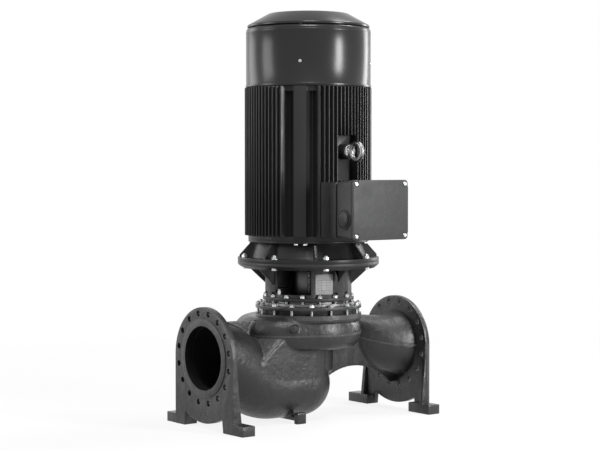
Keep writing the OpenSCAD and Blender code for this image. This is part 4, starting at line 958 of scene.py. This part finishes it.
    def duct_path(self) -> list[Vector]:
        """Gives the control points of the discharge duct.

        Returns:
            Four points, from the volute to the flange.
        """
        angle = self.tongue_a - self.outlet_turn
        start = polar(self.tongue_r + self.growth - 0.084, angle)
        aim = polar(0.190, angle - 90)
        height = VOLUTE_Z + 0.005
        return [Vector((SHAFT_X + start[0], start[1], height)),
                Vector((SHAFT_X + start[0] + aim[0], start[1] + aim[1], height)),
                Vector((self.flange_back - 0.170, 0.0, PORT_Z)), Vector((self.flange_back, 0.0, PORT_Z))]

    def duct(self, first: float, last: float, count: int, steps: int) -> bpy.types.Object:
        """Grows the discharge duct from the volute to its flange.

        Args:
            first: Radius at the volute.
            last: Radius at the flange.
            count: Points on each ring.
            steps: Rings along the duct.

        Returns:
            The closed duct.
        """
        path = self.duct_path()
        rings = []
        for k in range(steps + 1):
            point, way = self.curve(path, k / steps)
            rings.append(self.ring(point, way, first + (last - first) * (k / steps) ** 1.5, count))
        return loft(rings)

    def suction(self, first: float, last: float, count: int, steps: int) -> bpy.types.Object:
        """Grows the suction pipe from its flange to the round end of the chamber.

        Args:
            first: Radius at the flange.
            last: Radius at the chamber.
            count: Points on each ring.
            steps: Rings along the pipe.

        Returns:
            The closed pipe.
        """
        path = [Vector((-self.flange_back, 0.0, PORT_Z)), Vector((-self.flange_back + 0.180, 0.0, PORT_Z)),
                Vector((-0.430, 0.0, self.chamber_z)), Vector((-0.250, 0.0, self.chamber_z))]
        rings = []
        for k in range(steps + 1):
            point, way = self.curve(path, k / steps)
            dip = 0.004 * math.sin(math.pi * k / steps)
            rings.append(self.ring(point, way, first + (last - first) * k / steps - dip, count))
        for k in range(9):
            turn = math.radians(80.0 * k / 8)
            centre = Vector((self.chamber_x + (last - 0.004) * math.sin(turn), 0.0, self.chamber_z))
            rings.append(self.ring(centre, Vector((1, 0, 0)), last * math.cos(turn), count))
        return loft(rings)

    def chamber(self, inset: float, top: float) -> bpy.types.Object:
        """Cuts the upright sides and the sloping roof of the suction chamber.

        Args:
            inset: Distance inside the outer skin.
            top: Height that the sides reach.

        Returns:
            The closed chamber.
        """
        half = self.chamber_half - inset
        (low_x, low_z), (high_x, roof) = self.ridge
        outline = [(low_x + 2 * inset, low_z), (high_x + 2 * inset, roof), (SHAFT_X, roof),
                   (SHAFT_X, self.chamber_z), (-0.250, self.chamber_z),
                   (-0.346 + inset, self.chamber_z + 0.027)]
        wedge = slab(outline, 2 * half, upright_frame(half))
        low = self.chamber_z - 0.055
        around = drum(half - 0.002, (self.chamber_x, 0.0, low), top - low, sides=128)
        side = half + 0.001
        box = slab(rectangle(self.chamber_x - self.flange_back, -side, self.chamber_x, side), top - low,
                   Matrix.Translation((0.0, 0.0, low)))
        carve(around, box, "UNION")
        carve(wedge, around, "INTERSECT")
        return wedge

    def riser(self, inset: float, top: float) -> bpy.types.Object:
        """Grows the round riser that leads up to the impeller's eye.

        Args:
            inset: Distance inside the outer skin.
            top: Height of its upper end.

        Returns:
            The closed riser.
        """
        radius = self.eye_r + self.wall + 0.014 - inset
        low = self.chamber_z + 0.020 + inset / 2
        levels = [(radius - 0.050, low), (radius, low + 0.050), (radius, top)]
        return turned(levels, 96, SHAFT_X)

    def webs(self) -> list[bpy.types.Object]:
        """Cuts the upright webs between the volute and the flanges.

        Returns:
            The suction web and the discharge web.
        """
        half = self.web_half
        upright = upright_frame(half)
        top = VOLUTE_Z + 0.086
        back = slab([(-self.flange_back - 0.001, PORT_Z), (-self.flange_back - 0.001, top),
                     (-self.tongue_r, top), (-self.tongue_r, PORT_Z)], 2 * half, upright)
        arch = [(0.345 + x, -0.108 + z) for x, z in (polar(0.377, 40.0 + 1.0 * i) for i in range(101))]
        low = self.chamber_z - 0.050
        front = [(x, z) for x, z in arch if z > low and SHAFT_X < x < self.flange_back]
        outline = [(self.flange_back + 0.001, 0.415)] + [(self.flange_back + 0.001, low)] + front
        outline += [(SHAFT_X, low), (SHAFT_X, 0.415)]
        return [back, slab(outline, 2 * half, upright)]

    def details(self) -> list[bpy.types.Object]:
        """Adds the lugs under the chamber, the web that holds them and the bosses for the plugs.

        Returns:
            Two lugs, their web and two bosses.
        """
        parts = []
        x, out = self.lug_place
        half_x, half_y = self.lug_half
        for y in (-out, out):
            outline = rectangle(x - half_x, y - half_y, x + half_x, y + half_y)
            parts.append(slab(outline, self.lug_h, Matrix.Identity(4)))
        parts.append(slab(rectangle(*self.lug_web), self.lug_web_h,
                          Matrix.Translation((0.0, 0.0, self.lug_web_low))))
        boss = drum(self.boss_r, (0.0, 0.0, 0.0), GAUGE_REACH, "X", 48)
        boss.matrix_world = gauge_axis()
        parts.append(boss)
        parts.append(drum(self.boss_r, (self.chamber_x, 0.0, self.chamber_z),
                          self.chamber_half + self.drain_boss_l, "Y", 48))
        return parts

    def casting(self) -> bpy.types.Object:
        """Joins all cast forms and remeshes them into one skin with rounded corners.

        Returns:
            The outer casting, still solid.
        """
        skins = [self.volute(0.0, 160, 9), self.duct(self.duct_start_r, self.duct_end_r, 96, 22),
                 self.suction(0.200, 0.186, 96, 22), self.chamber(0.0, VOLUTE_Z), self.riser(0.0, VOLUTE_Z)]
        skins.append(drum(self.seat_r - 0.001, (SHAFT_X, 0.0, VOLUTE_Z + 0.070),
                          SEAT_Z - 0.004 - VOLUTE_Z - 0.070, sides=160))
        body = join(skins + [self.skirt()] + self.webs() + self.details())
        bpy.ops.object.transform_apply(location=True, rotation=True, scale=True)
        apply(body, "REMESH", mode="VOXEL", voxel_size=self.voxel, adaptivity=0.0)
        apply(body, "SMOOTH", factor=0.5, iterations=6)
        apply(body, "DECIMATE", decimate_type="COLLAPSE", ratio=0.45)
        return body

    def flange(self, side: int) -> bpy.types.Object:
        """Makes a port flange with its arched plate, feet and ribs.

        Args:
            side: -1 for suction and 1 for discharge.

        Returns:
            The flange, not yet bored.
        """
        back = self.flange_back
        face = self.flange_face - self.raised_h
        outline = [polar(self.plate_half, 3.75 * i) for i in range(49)]
        outline += [(-self.plate_half, -PORT_Z + 0.004), (-self.plate_half + 0.004, -PORT_Z),
                    (-self.foot_gap / 2, -PORT_Z)]
        low = [polar(self.belly_r, a) for a in range(200, 341, 2)]
        outline += [(x, z) for x, z in low if abs(x) < self.foot_gap / 2]
        outline += [(self.foot_gap / 2, -PORT_Z), (self.plate_half - 0.004, -PORT_Z),
                    (self.plate_half, -PORT_Z + 0.004)]
        frame = Matrix(((0, 0, side, side * back), (side, 0, 0, 0), (0, 1, 0, PORT_Z), (0, 0, 0, 1)))
        plate = slab(outline, face - back, frame)
        ease(plate, 0.002)
        x_low = min(side * (face - 0.002), side * self.flange_face)
        raised = drum(self.raised_r, (x_low, 0.0, PORT_Z), self.flange_face - face + 0.002, "X", 128)
        ease(raised, 0.0012)
        carve(plate, raised, "UNION")
        for y in (-1, 1):
            carve(plate, self.foot(side, y), "UNION")
            carve(plate, self.rib(side, y), "UNION")
        holes = []
        for i in range(16):
            y, z = polar(self.bolt_circle_r, 11.25 + 22.5 * i)
            holes.append(drum(self.bolt_hole_r, (side * 0.68 - 0.04, y, PORT_Z + z), 0.08, "X", 32))
        carve(plate, join(holes), "DIFFERENCE")
        return plate

    def foot(self, side: int, hand: int) -> bpy.types.Object:
        """Makes one foot with rounded edges, its hole drilled from below.

        Args:
            side: -1 for suction and 1 for discharge.
            hand: -1 for the front and 1 for the back.

        Returns:
            The foot.
        """
        inner, outer = hand * self.foot_gap / 2, hand * self.foot_span / 2
        face = side * (self.flange_face - self.raised_h)
        end = face - side * self.foot_l
        low_x, high_x = min(face, end), max(face, end)
        low_y, high_y = min(inner, outer), max(inner, outer)
        foot = slab(rectangle(low_x, low_y, high_x, high_y), self.foot_h, Matrix.Identity(4))
        ease(foot, 0.004, 3)
        place = ((low_x + high_x) / 2, hand * self.foot_hole_y, -0.01)
        carve(foot, drum(self.foot_hole_r, place, 0.053, "Z", 32))
        return foot

    def rib(self, side: int, hand: int) -> bpy.types.Object:
        """Makes the sloping rib behind the plate's outer edge.

        Args:
            side: -1 for suction and 1 for discharge.
            hand: -1 for the front and 1 for the back.

        Returns:
            The rib.
        """
        y = hand * self.plate_half
        near = y - hand * self.rib_w
        upright = upright_frame(max(y, near))
        back = self.flange_back
        outline = [(side * (back + 0.005), 0.310), (side * back, 0.310), (side * (back - 0.028), 0.055),
                   (side * (back - 0.028), 0.050), (side * (back + 0.005), 0.050)]
        rib = slab(outline, self.rib_w, upright)
        ease(rib, 0.002)
        return rib

    def hollow(self) -> bpy.types.Object:
        """Joins the water passages, the impeller's room and the bores into one cutter.

        Returns:
            The cutter.
        """
        passages = [self.volute(self.wall, 96, 5),
                    self.duct(self.duct_start_r - self.wall, self.liner_r, 64, 14),
                    self.suction(self.liner_r, 0.168, 64, 14), self.chamber(self.wall + 0.002, 0.388),
                    self.riser(self.wall, 0.388),
                    drum(0.124, (SHAFT_X, 0.0, 0.287), 0.25, "Z", 64),
                    drum(self.mouth_r, (SHAFT_X, 0.0, 0.421), 0.3, "Z", 128)]
        for side in (-1, 1):
            low = min(side * 0.650, side * 0.710)
            passages.append(drum(self.bore_r, (low, 0.0, PORT_Z), 0.060, "X", 96))
        cutter = passages[0]
        for passage in passages[1:]:
            carve(cutter, passage, "UNION")
        return cutter


@dataclass(frozen=True)
class Rounded:
    """A CAD node's shape with its cast or machined edges rounded."""

    node: str
    body: str
    slot: str
    edge: float
    segments: int = 2
    sharp: float = 40.0

    def build(self, frame: dict) -> bpy.types.Object:
        """Copies the node, merges its triangles, rounds its edges and replaces it.


        Returns:
            The rounded piece.
        """
        source = frame["nodes"][self.node]
        copy = bpy.data.objects.new(self.node + "_rounded", source.data.copy())
        copy.matrix_world = source.matrix_world.copy()
        bpy.context.scene.collection.objects.link(copy)
        pick(copy)
        if copy.data.has_custom_normals:
            bpy.ops.mesh.customdata_custom_splitnormals_clear()
        bpy.ops.object.mode_set(mode="EDIT")
        bpy.ops.mesh.select_all(action="SELECT")
        bpy.ops.mesh.remove_doubles(threshold=0.00002)
        bpy.ops.mesh.dissolve_limited(angle_limit=math.radians(1.0))
        bpy.ops.object.mode_set(mode="OBJECT")
        apply(copy, "BEVEL", width=self.edge, segments=self.segments, limit_method="ANGLE",
              angle_limit=math.radians(self.sharp), use_clamp_overlap=False)
        pick(copy)
        bpy.ops.object.shade_smooth_by_angle(angle=math.radians(32.0))
        return show(copy, self.body, self.slot, self.node)


ROUNDED: tuple[Rounded, ...] = (
    Rounded("motor_frame", "housing", "motor_paint", 0.0012),
    Rounded("motor_stool", "housing", "stool_iron", 0.0025, 3),
    Rounded("lower_shield", "housing", "motor_paint", 0.0022, 3),
    Rounded("casing_cover", "housing", "casing_iron", 0.0015),
    Rounded("terminal_box", "housing", "motor_paint", 0.0025, 3),
    Rounded("box_lid", "housing", "motor_paint", 0.0022, 3),
    Rounded("coupling_halves", "rotor", "motor_paint", 0.0015),
)


@dataclass
class Fasteners:
    """Hexagon bolts, nuts, washers and studs: each size is modelled once and copied to its places."""

    chamfer: float = 0.95
    stud_thread: float = 0.016
    flange_thread: float = 0.020
    rim_thread: float = 0.014
    lid_thread: float = 0.012
    hood_thread: float = 0.010
    cover_circle: float = 0.285
    foot_circle: float = 0.245
    flange_circle: float = 0.370
    rim_circle: float = 0.326
    hood_circle: float = 0.352
    lid_centre: tuple[float, float, float] = (SHAFT_X, -0.636, 1.191)
    lid_half: tuple[float, float] = (0.1695, 0.139)

    def hexagon(self, thread: float, height: float) -> bpy.types.Object:
        """Models a hexagon with its corners turned off at the top.

        Args:
            thread: Thread size in metres.
            height: Height of the hexagon.

        Returns:
            The hexagon, standing on Z = 0.
        """
        flats = 1.5 * thread
        corner = flats / 2 / math.cos(math.radians(30.0))
        deselect()
        bpy.ops.mesh.primitive_cylinder_add(vertices=6, radius=corner, depth=height,
                                            location=(0, 0, height / 2))
        body = bpy.context.object
        bpy.ops.object.transform_apply(location=True, rotation=True, scale=True)
        top = self.chamfer * flats / 2
        drop = (corner * 1.02 - top) * math.tan(math.radians(30.0))
        levels = [(corner * 1.02, -0.001), (corner * 1.02, height - drop), (top, height + 0.00001)]
        carve(body, turned(levels, 32), "INTERSECT")
        return body

    def washer(self, thread: float) -> bpy.types.Object:
        """Models a flat washer that stands on Z = 0."""
        disc = drum(0.92 * thread, (0.0, 0.0, 0.0), 0.16 * thread, "Z", 32)
        ease(disc, 0.0004)
        return disc

    def stud(self, thread: float, length: float) -> bpy.types.Object:
        """Models a threaded bar from Z = 0 up, with a rounded end and thread rings.

        Args:
            thread: Thread size in metres.
            length: Length of the bar.

        Returns:
            The bar.
        """
        pitch = max(0.0025, 0.14 * thread)
        radius = thread / 2
        levels = [(radius, 0.0)]
        turns = int(length / pitch) - 1
        for i in range(turns):
            z = i * pitch
            levels += [(radius, z + 0.15 * pitch), (radius * 0.9, z + 0.5 * pitch),
                       (radius, z + 0.85 * pitch)]
        levels += [(radius, length - 0.0015), (radius * 0.82, length)]
        return turned(levels, 16)

    def nut(self, thread: float) -> bpy.types.Object:
        """Models a nut on its washer, standing on Z = 0."""
        hexagon = self.hexagon(thread, 0.8 * thread - 0.16 * thread)
        hexagon.location.z = 0.16 * thread
        return join([hexagon, self.washer(thread)])

    def head(self, thread: float) -> bpy.types.Object:
        """Models a bolt head on its washer, standing on Z = 0."""
        hexagon = self.hexagon(thread, 0.65 * thread - 0.1 * thread)
        hexagon.location.z = 0.1 * thread
        return join([hexagon, self.washer(thread)])

    def pan(self, thread: float) -> bpy.types.Object:
        """Models a domed head with a socket, standing on Z = 0."""
        levels = [(0.9 * thread, 0.0), (0.9 * thread, 0.12 * thread), (0.78 * thread, 0.28 * thread),
                  (0.5 * thread, 0.38 * thread), (0.24 * thread, 0.4 * thread), (0.2 * thread, 0.2 * thread)]
        return turned(levels, 24)

    def spread(self, model: bpy.types.Object, places: list[Matrix], name: str) -> bpy.types.Object:
        """Copies a model to its places and joins the copies.

        Args:
            model: The modelled fastener, used up here.
            places: Where the copies go.
            name: Name of the joined piece.

        Returns:
            The joined piece.
        """
        pick(model)
        bpy.ops.object.transform_apply(location=True, rotation=True, scale=True)
        copies = []
        for place in places:
            copy = model.copy()
            copy.data = model.data.copy()
            copy.matrix_world = place
            bpy.context.scene.collection.objects.link(copy)
            copies.append(copy)
        bpy.data.objects.remove(model, do_unlink=True)
        return settle(join(copies), name, 28.0)

    def circle(self, count: int, radius: float, start: float, height: float,
               down: bool = False) -> list[Matrix]:
        """Gives places on a circle round the shaft.

        Args:
            count: How many.
            radius: Radius of the circle.
            start: Angle of the first, in degrees.
            height: Height of the seat.
            down: True when the heads point down.

        Returns:
            The places.
        """
        flip = Matrix.Rotation(math.pi, 4, "X") if down else Matrix.Identity(4)
        places = []
        for i in range(count):
            x, y = polar(radius, start + 360.0 * i / count)
            spin = Matrix.Rotation(math.radians(start + 37.0 * i), 4, "Z")
            places.append(Matrix.Translation((SHAFT_X + x, y, height)) @ spin @ flip)
        return places

    def build(self) -> None:
        """Builds every set of fasteners."""
        steel = "fastener_steel"
        thread = self.stud_thread
        cover = self.circle(16, self.cover_circle, 11.25, HUB_Z)
        show(self.spread(self.nut(thread), cover, "cover_nut_set"), "housing", steel, "cover_nuts")
        studs = self.circle(16, self.cover_circle, 11.25, 0.564)
        show(self.spread(self.stud(thread, 0.1005), studs, "cover_stud_set"), "housing", steel, "cover_studs")
        foot = self.circle(16, self.foot_circle, 0.0, 0.694)
        show(self.spread(self.nut(thread), foot, "stool_nut_set"), "housing", steel, "stool_nuts")
        studs = self.circle(16, self.foot_circle, 0.0, 0.643)
        show(self.spread(self.stud(thread, 0.0685), studs, "stool_stud_set"), "housing", steel, "stool_studs")
        thread = self.flange_thread
        below = self.circle(8, self.flange_circle, 22.5, 0.866, True)
        heads = self.spread(self.head(thread), below, "flange_bolt_heads")
        through = self.circle(8, self.flange_circle, 22.5, 0.8665)
        shanks = self.spread(self.stud(thread, 0.071), through, "flange_bolt_shanks")
        show(settle(join([heads, shanks]), "flange_bolt_set", 28.0), "housing", steel, "flange_bolts")
        nuts = self.circle(8, self.flange_circle, 22.5, 0.914)
        show(self.spread(self.nut(thread), nuts, "flange_nut_set"), "housing", steel, "flange_nuts")
        rim = self.rim_places()
        bolts = self.spread(self.head(self.rim_thread), rim, "shield_bolt_set")
        show(bolts, "housing", steel, "shield_bolts")
        lid = self.lid_places()
        show(self.spread(self.head(self.lid_thread), lid, "lid_screw_set"), "housing", steel, "lid_screws")
        hood = self.spread(self.pan(self.hood_thread), self.hood_places(), "fan_cover_screw_set")
        show(hood, "housing", steel, "fan_cover_screws")

    def rim_places(self) -> list[Matrix]:
        """Gives the places of the shield's bolts, in pairs, heads down.

        Returns:
            Eight places.
        """
        places = []
        for i in range(4):
            for side in (-1, 1):
                x, y = polar(self.rim_circle, 45 + 90 * i + side * 4.7)
                places.append(Matrix.Translation((SHAFT_X + x, y, 1.001)) @ Matrix.Rotation(math.pi, 4, "X")
                              @ Matrix.Rotation(math.radians(20.0 * i + 9.0 * side), 4, "Z"))
        return places

    def lid_places(self) -> list[Matrix]:
        """Gives the places of the screws in the corners of the box's lid.

        Returns:
            Four places.
        """
        middle, face, height = self.lid_centre
        half_x, half_z = self.lid_half
        places = []
        for x in (-1, 1):
            for z in (-1, 1):
                places.append(Matrix.Translation((middle + x * half_x, face, height + z * half_z))
                              @ Matrix.Rotation(math.pi / 2, 4, "X")
                              @ Matrix.Rotation(0.4 * x + 0.9 * z, 4, "Z"))
        return places

    def hood_places(self) -> list[Matrix]:
        """Gives the places of the screws round the fan cover.

        Returns:
            Four places.
        """
        places = []
        for angle in range(45, 405, 90):
            x, y = polar(self.hood_circle, angle)
            places.append(Matrix.Translation((SHAFT_X + x, y, FRAME_TOP + 0.135))
                          @ Matrix.Rotation(math.radians(angle), 4, "Z")
                          @ Matrix.Rotation(math.pi / 2, 4, "Y"))
        return places


@dataclass
class Hood:
    """The fan cover, its ring grille and the canopy over it."""

    radius: float = 0.352
    low: float = 1.867
    top: float = 2.203
    sheet: float = 0.003
    canopy_r: float = 0.345
    sides: int = 192

    def lathe(self, levels: list[tuple[float, float]], sides: int = 0) -> bpy.types.Object:
        """Turns a profile round the shaft.

        Args:
            levels: Radius and height of each ring.
            sides: Points on each ring, or 0 for the usual count.

        Returns:
            The closed body.
        """
        return turned(levels, sides or self.sides, SHAFT_X)

    def cover(self) -> bpy.types.Object:
        """Forms the cowl: rolled lower bead, a swage under the shoulder and a round shoulder.

        Returns:
            The cowl.
        """
        r, low, top = self.radius, self.low, self.top
        outer = [(r - 0.001, low), (r + 0.002, low + 0.0015), (r + 0.003, low + 0.005),
                 (r + 0.003, low + 0.010), (r + 0.002, low + 0.014), (r, low + 0.017), (r, top - 0.034),
                 (r + 0.0012, top - 0.032), (r + 0.0012, top - 0.027), (r - 0.0004, top - 0.025)]
        outer += [(r - 0.022 + 0.0216 * math.cos(a), top - 0.022 + 0.022 * math.sin(a))
                  for a in (math.pi / 2 * k / 10 for k in range(1, 11))]
        inner = [(r - 0.004, low - 0.001), (r - 0.004, top - 0.022), (r - 0.012, top - 0.008),
                 (r - 0.024, top - self.sheet)]
        body = self.lathe(outer)
        carve(body, self.lathe(inner))
        carve(body, self.lathe([(r - 0.060, top - 0.02), (r - 0.060, top + 0.01)]))
        return settle(body, "fan_cowl", 40.0)

    def grille(self) -> bpy.types.Object:
        """Makes the guard of wire rings on flat spokes.

        Returns:
            The guard.
        """
        wires = []
        for k in range(8):
            deselect()
            bpy.ops.mesh.primitive_torus_add(major_radius=0.070 + 0.029 * k, minor_radius=0.0022,
                                             major_segments=96, minor_segments=8,
                                             location=(SHAFT_X, 0.0, self.top - 0.0025))
            wires.append(bpy.context.object)
        middle = Matrix.Translation((SHAFT_X, 0.0, self.top - 0.004))
        for i in range(8):
            turn = Matrix.Rotation(math.radians(45.0 * i), 4, "Z")
            wires.append(slab(rectangle(0.060, -0.004, 0.294, 0.004), 0.003, middle @ turn))
        wires.append(self.lathe([(0.070, self.top - 0.004), (0.070, self.top - 0.001)], 96))
        return settle(join(wires), "fan_guard", 40.0)

    def canopy(self) -> bpy.types.Object:
        """Forms the rain canopy with its rolled rim.

        Returns:
            The canopy.
        """
        r = self.canopy_r
        outer = [(r - 0.0035, 2.2045), (r - 0.0008, 2.2052), (r, 2.2072), (r, 2.2125), (r - 0.0012, 2.2160),
                 (r - 0.0035, 2.2184), (0.2350, 2.2772), (0.2290, 2.2806), (0.2210, 2.2828), (0.2000, 2.2850),
                 (0.1400, 2.2884), (0.0700, 2.2916), (0.0200, 2.2929), (0.0010, 2.2930)]
        inner = [(r - 0.0036, 2.2035), (r - 0.0032, 2.2140), (0.2320, 2.2745), (0.2180, 2.2800),
                 (0.0010, 2.2900)]
        body = self.lathe(outer)
        carve(body, self.lathe(inner))
        return settle(body, "rain_canopy", 40.0)

    def build(self) -> None:
        """Builds the hood."""
        show(self.cover(), "housing", "cowl_paint", "fan_cover")
        show(self.grille(), "housing", "cowl_paint")
        show(self.canopy(), "housing", "cowl_paint", "fan_canopy")


@dataclass
class Plugs:
    """Pipe plugs in the casting and the domed plug in the unused cable entry."""

    thread: float = 0.020
    drain: tuple[float, float, float] = (-0.055, 0.194, 0.203)
    entry_seat: float = 0.0138

    def pipe_plugs(self) -> bpy.types.Object:
        """Makes the two painted hexagon plugs of the casing.

        Returns:
            Both plugs as one piece.
        """
        bolts = Fasteners()
        gauge = (gauge_axis() @ Matrix.Translation((GAUGE_REACH, 0.0, 0.0))
                 @ Matrix.Rotation(math.pi / 2, 4, "Y"))
        drain = Matrix.Translation(self.drain) @ Matrix.Rotation(-math.pi / 2, 4, "X")
        return bolts.spread(bolts.head(self.thread), [gauge, drain], "casing_plug_pair")

    def dome(self) -> bpy.types.Object:
        """Makes the cable entry's plug: a flange with a stepped, domed middle.

        Returns:
            The plug, standing on Z = 0.
        """
        levels = [(0.0520, 0.0), (0.0530, 0.0010), (0.0530, 0.0035), (0.0515, 0.0050), (0.0470, 0.0050),
                  (0.0460, 0.0028), (0.0440, 0.0028), (0.0432, 0.0080), (0.0370, 0.0108), (0.0250, 0.0126),
                  (0.0100, 0.0135), (0.0010, 0.0136)]
        return turned(levels, 64)

    def build(self, frame: dict) -> None:
        """Builds the plugs.
        """
        show(self.pipe_plugs(), "housing", "casing_iron", "casing_plugs")
        low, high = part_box("entry_plug")
        centre = (low[1] + high[1]) / 2, (low[2] + high[2]) / 2
        body = self.dome()
        body.matrix_world = (Matrix.Translation((low[0] + self.entry_seat, centre[0], centre[1]))
                             @ Matrix.Rotation(-math.pi / 2, 4, "Y"))
        show(settle(body, "entry_plug_dome", 35.0), "housing", "motor_paint", "entry_plug")


@dataclass
class EyeBolts:
    """Two forged eye bolts, their ring, neck and collar grown into one."""

    reach: float = 0.365
    height: float = 1.505
    ring: float = 0.046
    bar: float = 0.013

    def build(self) -> None:
        """Builds both eye bolts."""
        bolts = []
        for side in (-1, 1):
            y = side * self.reach
            centre = side * (self.reach + 0.066)
            deselect()
            bpy.ops.mesh.primitive_torus_add(major_radius=self.ring, minor_radius=self.bar, major_segments=72,
                                             minor_segments=28, location=(SHAFT_X, centre, self.height),
                                             rotation=(0.0, math.pi / 2, 0.0))
            ring = bpy.context.object
            levels = [(0.037, 0.0), (0.037, 0.007), (0.034, 0.010), (0.022, 0.012), (0.016, 0.018),
                      (0.013, 0.028)]
            neck = loft([[Vector((SHAFT_X + x, y + side * out, self.height + z)) for x, z in
                          (polar(r, 7.5 * i) for i in range(48))] for r, out in levels])
            body = join([ring, neck])
            pick(body)
            bpy.ops.object.transform_apply(location=True, rotation=True, scale=True)
            apply(body, "REMESH", mode="VOXEL", voxel_size=0.0016, adaptivity=0.0)
            apply(body, "SMOOTH", factor=0.5, iterations=6)
            apply(body, "DECIMATE", decimate_type="COLLAPSE", ratio=0.3)
            bolts.append(body)
        pair = show(settle(join(bolts), "eye_bolt_pair", 60.0), "housing", "fastener_steel", "eye_bolts")
        pair.data.materials[0] = FORGED.material()


@dataclass
class BlankPlate:
    """Bare metal plate with a rolled border, empty ruled fields and four rivets."""

    angle: float = 254.5
    flat: float = 0.233
    width: float = 0.104
    height: float = 0.112
    low: float = 0.714
    field_floor: float = 0.0008

    def outline(self, inset: float, corner: float) -> list[tuple[float, float]]:
        """Gives a rectangle with round corners.

        Args:
            inset: Distance inside the plate's edge.
            corner: Radius of the corners.

        Returns:
            The outline.
        """
        half_x, half_z = self.width / 2 - inset - corner, self.height / 2 - inset - corner
        points = []
        for n, (sx, sz) in enumerate(((1, 1), (-1, 1), (-1, -1), (1, -1))):
            for k in range(6):
                x, z = polar(corner, 90.0 * n + 18.0 * k)
                points.append((sx * half_x + x, sz * half_z + z))
        return points

    def build(self) -> None:
        """Builds the plate and its rivets."""
        levels = [(0.0, 0.005, 0.0), (0.0, 0.005, 0.0011), (0.0004, 0.0046, 0.0015), (0.0035, 0.0035, 0.0015),
                  (0.0040, 0.0032, 0.0011)]
        plate = loft([[Vector((x, z, out)) for x, z in self.outline(inset, corner)]
                      for inset, corner, out in levels])
        ruled = [rectangle(-0.043, z, 0.043, z + 0.0018) for z in (-0.034, -0.020, -0.006, 0.008, 0.022)]
        ruled += [rectangle(x, -0.0335, x + 0.0016, 0.0225) for x in (-0.018, 0.014)]
        for outline in ruled:
            carve(plate, slab(outline, 0.001, Matrix.Translation((0.0, 0.0, self.field_floor))))
        rivets = []
        for x in (-1, 1):
            for z in (-1, 1):
                levels = [(0.0032, 0.001), (0.0032, 0.0016), (0.0026, 0.0023), (0.0012, 0.0027)]
                rivets.append(loft([[Vector((x * 0.0445 + a, z * 0.0485 + b, out)) for a, b in
                                     (polar(r, 30.0 * i) for i in range(12))] for r, out in levels]))
        plate = join([plate] + rivets)
        frame = (Matrix.Translation((SHAFT_X, 0.0, self.low + self.height / 2))
                 @ Matrix.Rotation(math.radians(self.angle), 4, "Z")
                 @ Matrix(((0, 0, 1, self.flat), (1, 0, 0, 0), (0, 1, 0, 0), (0, 0, 0, 1))))
        plate.matrix_world = frame
        plate = show(settle(plate, "blank_plate", 30.0), "housing", "plate_metal", "nameplate")
        way = Vector((*polar(1.0, self.angle), 0.0))
        floor = self.flat + self.field_floor
        middle = self.low + self.height / 2
        tint(plate, INK, lambda c, n: abs(way.dot(c - Vector((SHAFT_X, 0.0, 0.0))) - floor) < 0.0002
             and n.dot(way) > 0.9 and abs(c.z - middle) < 0.05)


def main() -> None:
    """Loads the frame, dresses it, adds the modelled pieces and notes the size."""
    logging.basicConfig(level=logging.INFO, format="%(message)s")
    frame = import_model()
    Studio().build()
    FrameDress(frame).build()
    Casing().build()
    rounded = {part.node: part.build(frame) for part in ROUNDED}
    tint(rounded["casing_cover"], BARE, lambda c, n: HUB_Z + 0.003 < c.z < STOOL_Z - 0.003 and abs(n.z) < 0.5
         and 0.2 < math.hypot(c.x - SHAFT_X, c.y) < 0.275)
    for node in ("terminal_box", "box_lid"):
        rounded[node].data.materials[0] = BOX_PAINT.material()
    rounded["coupling_halves"].data.materials[0] = COUPLING.material()
    Hood().build()
    Plugs().build(frame)
    Fasteners().build()
    EyeBolts().build()
    BlankPlate().build()


if __name__ == "__main__":
    main()
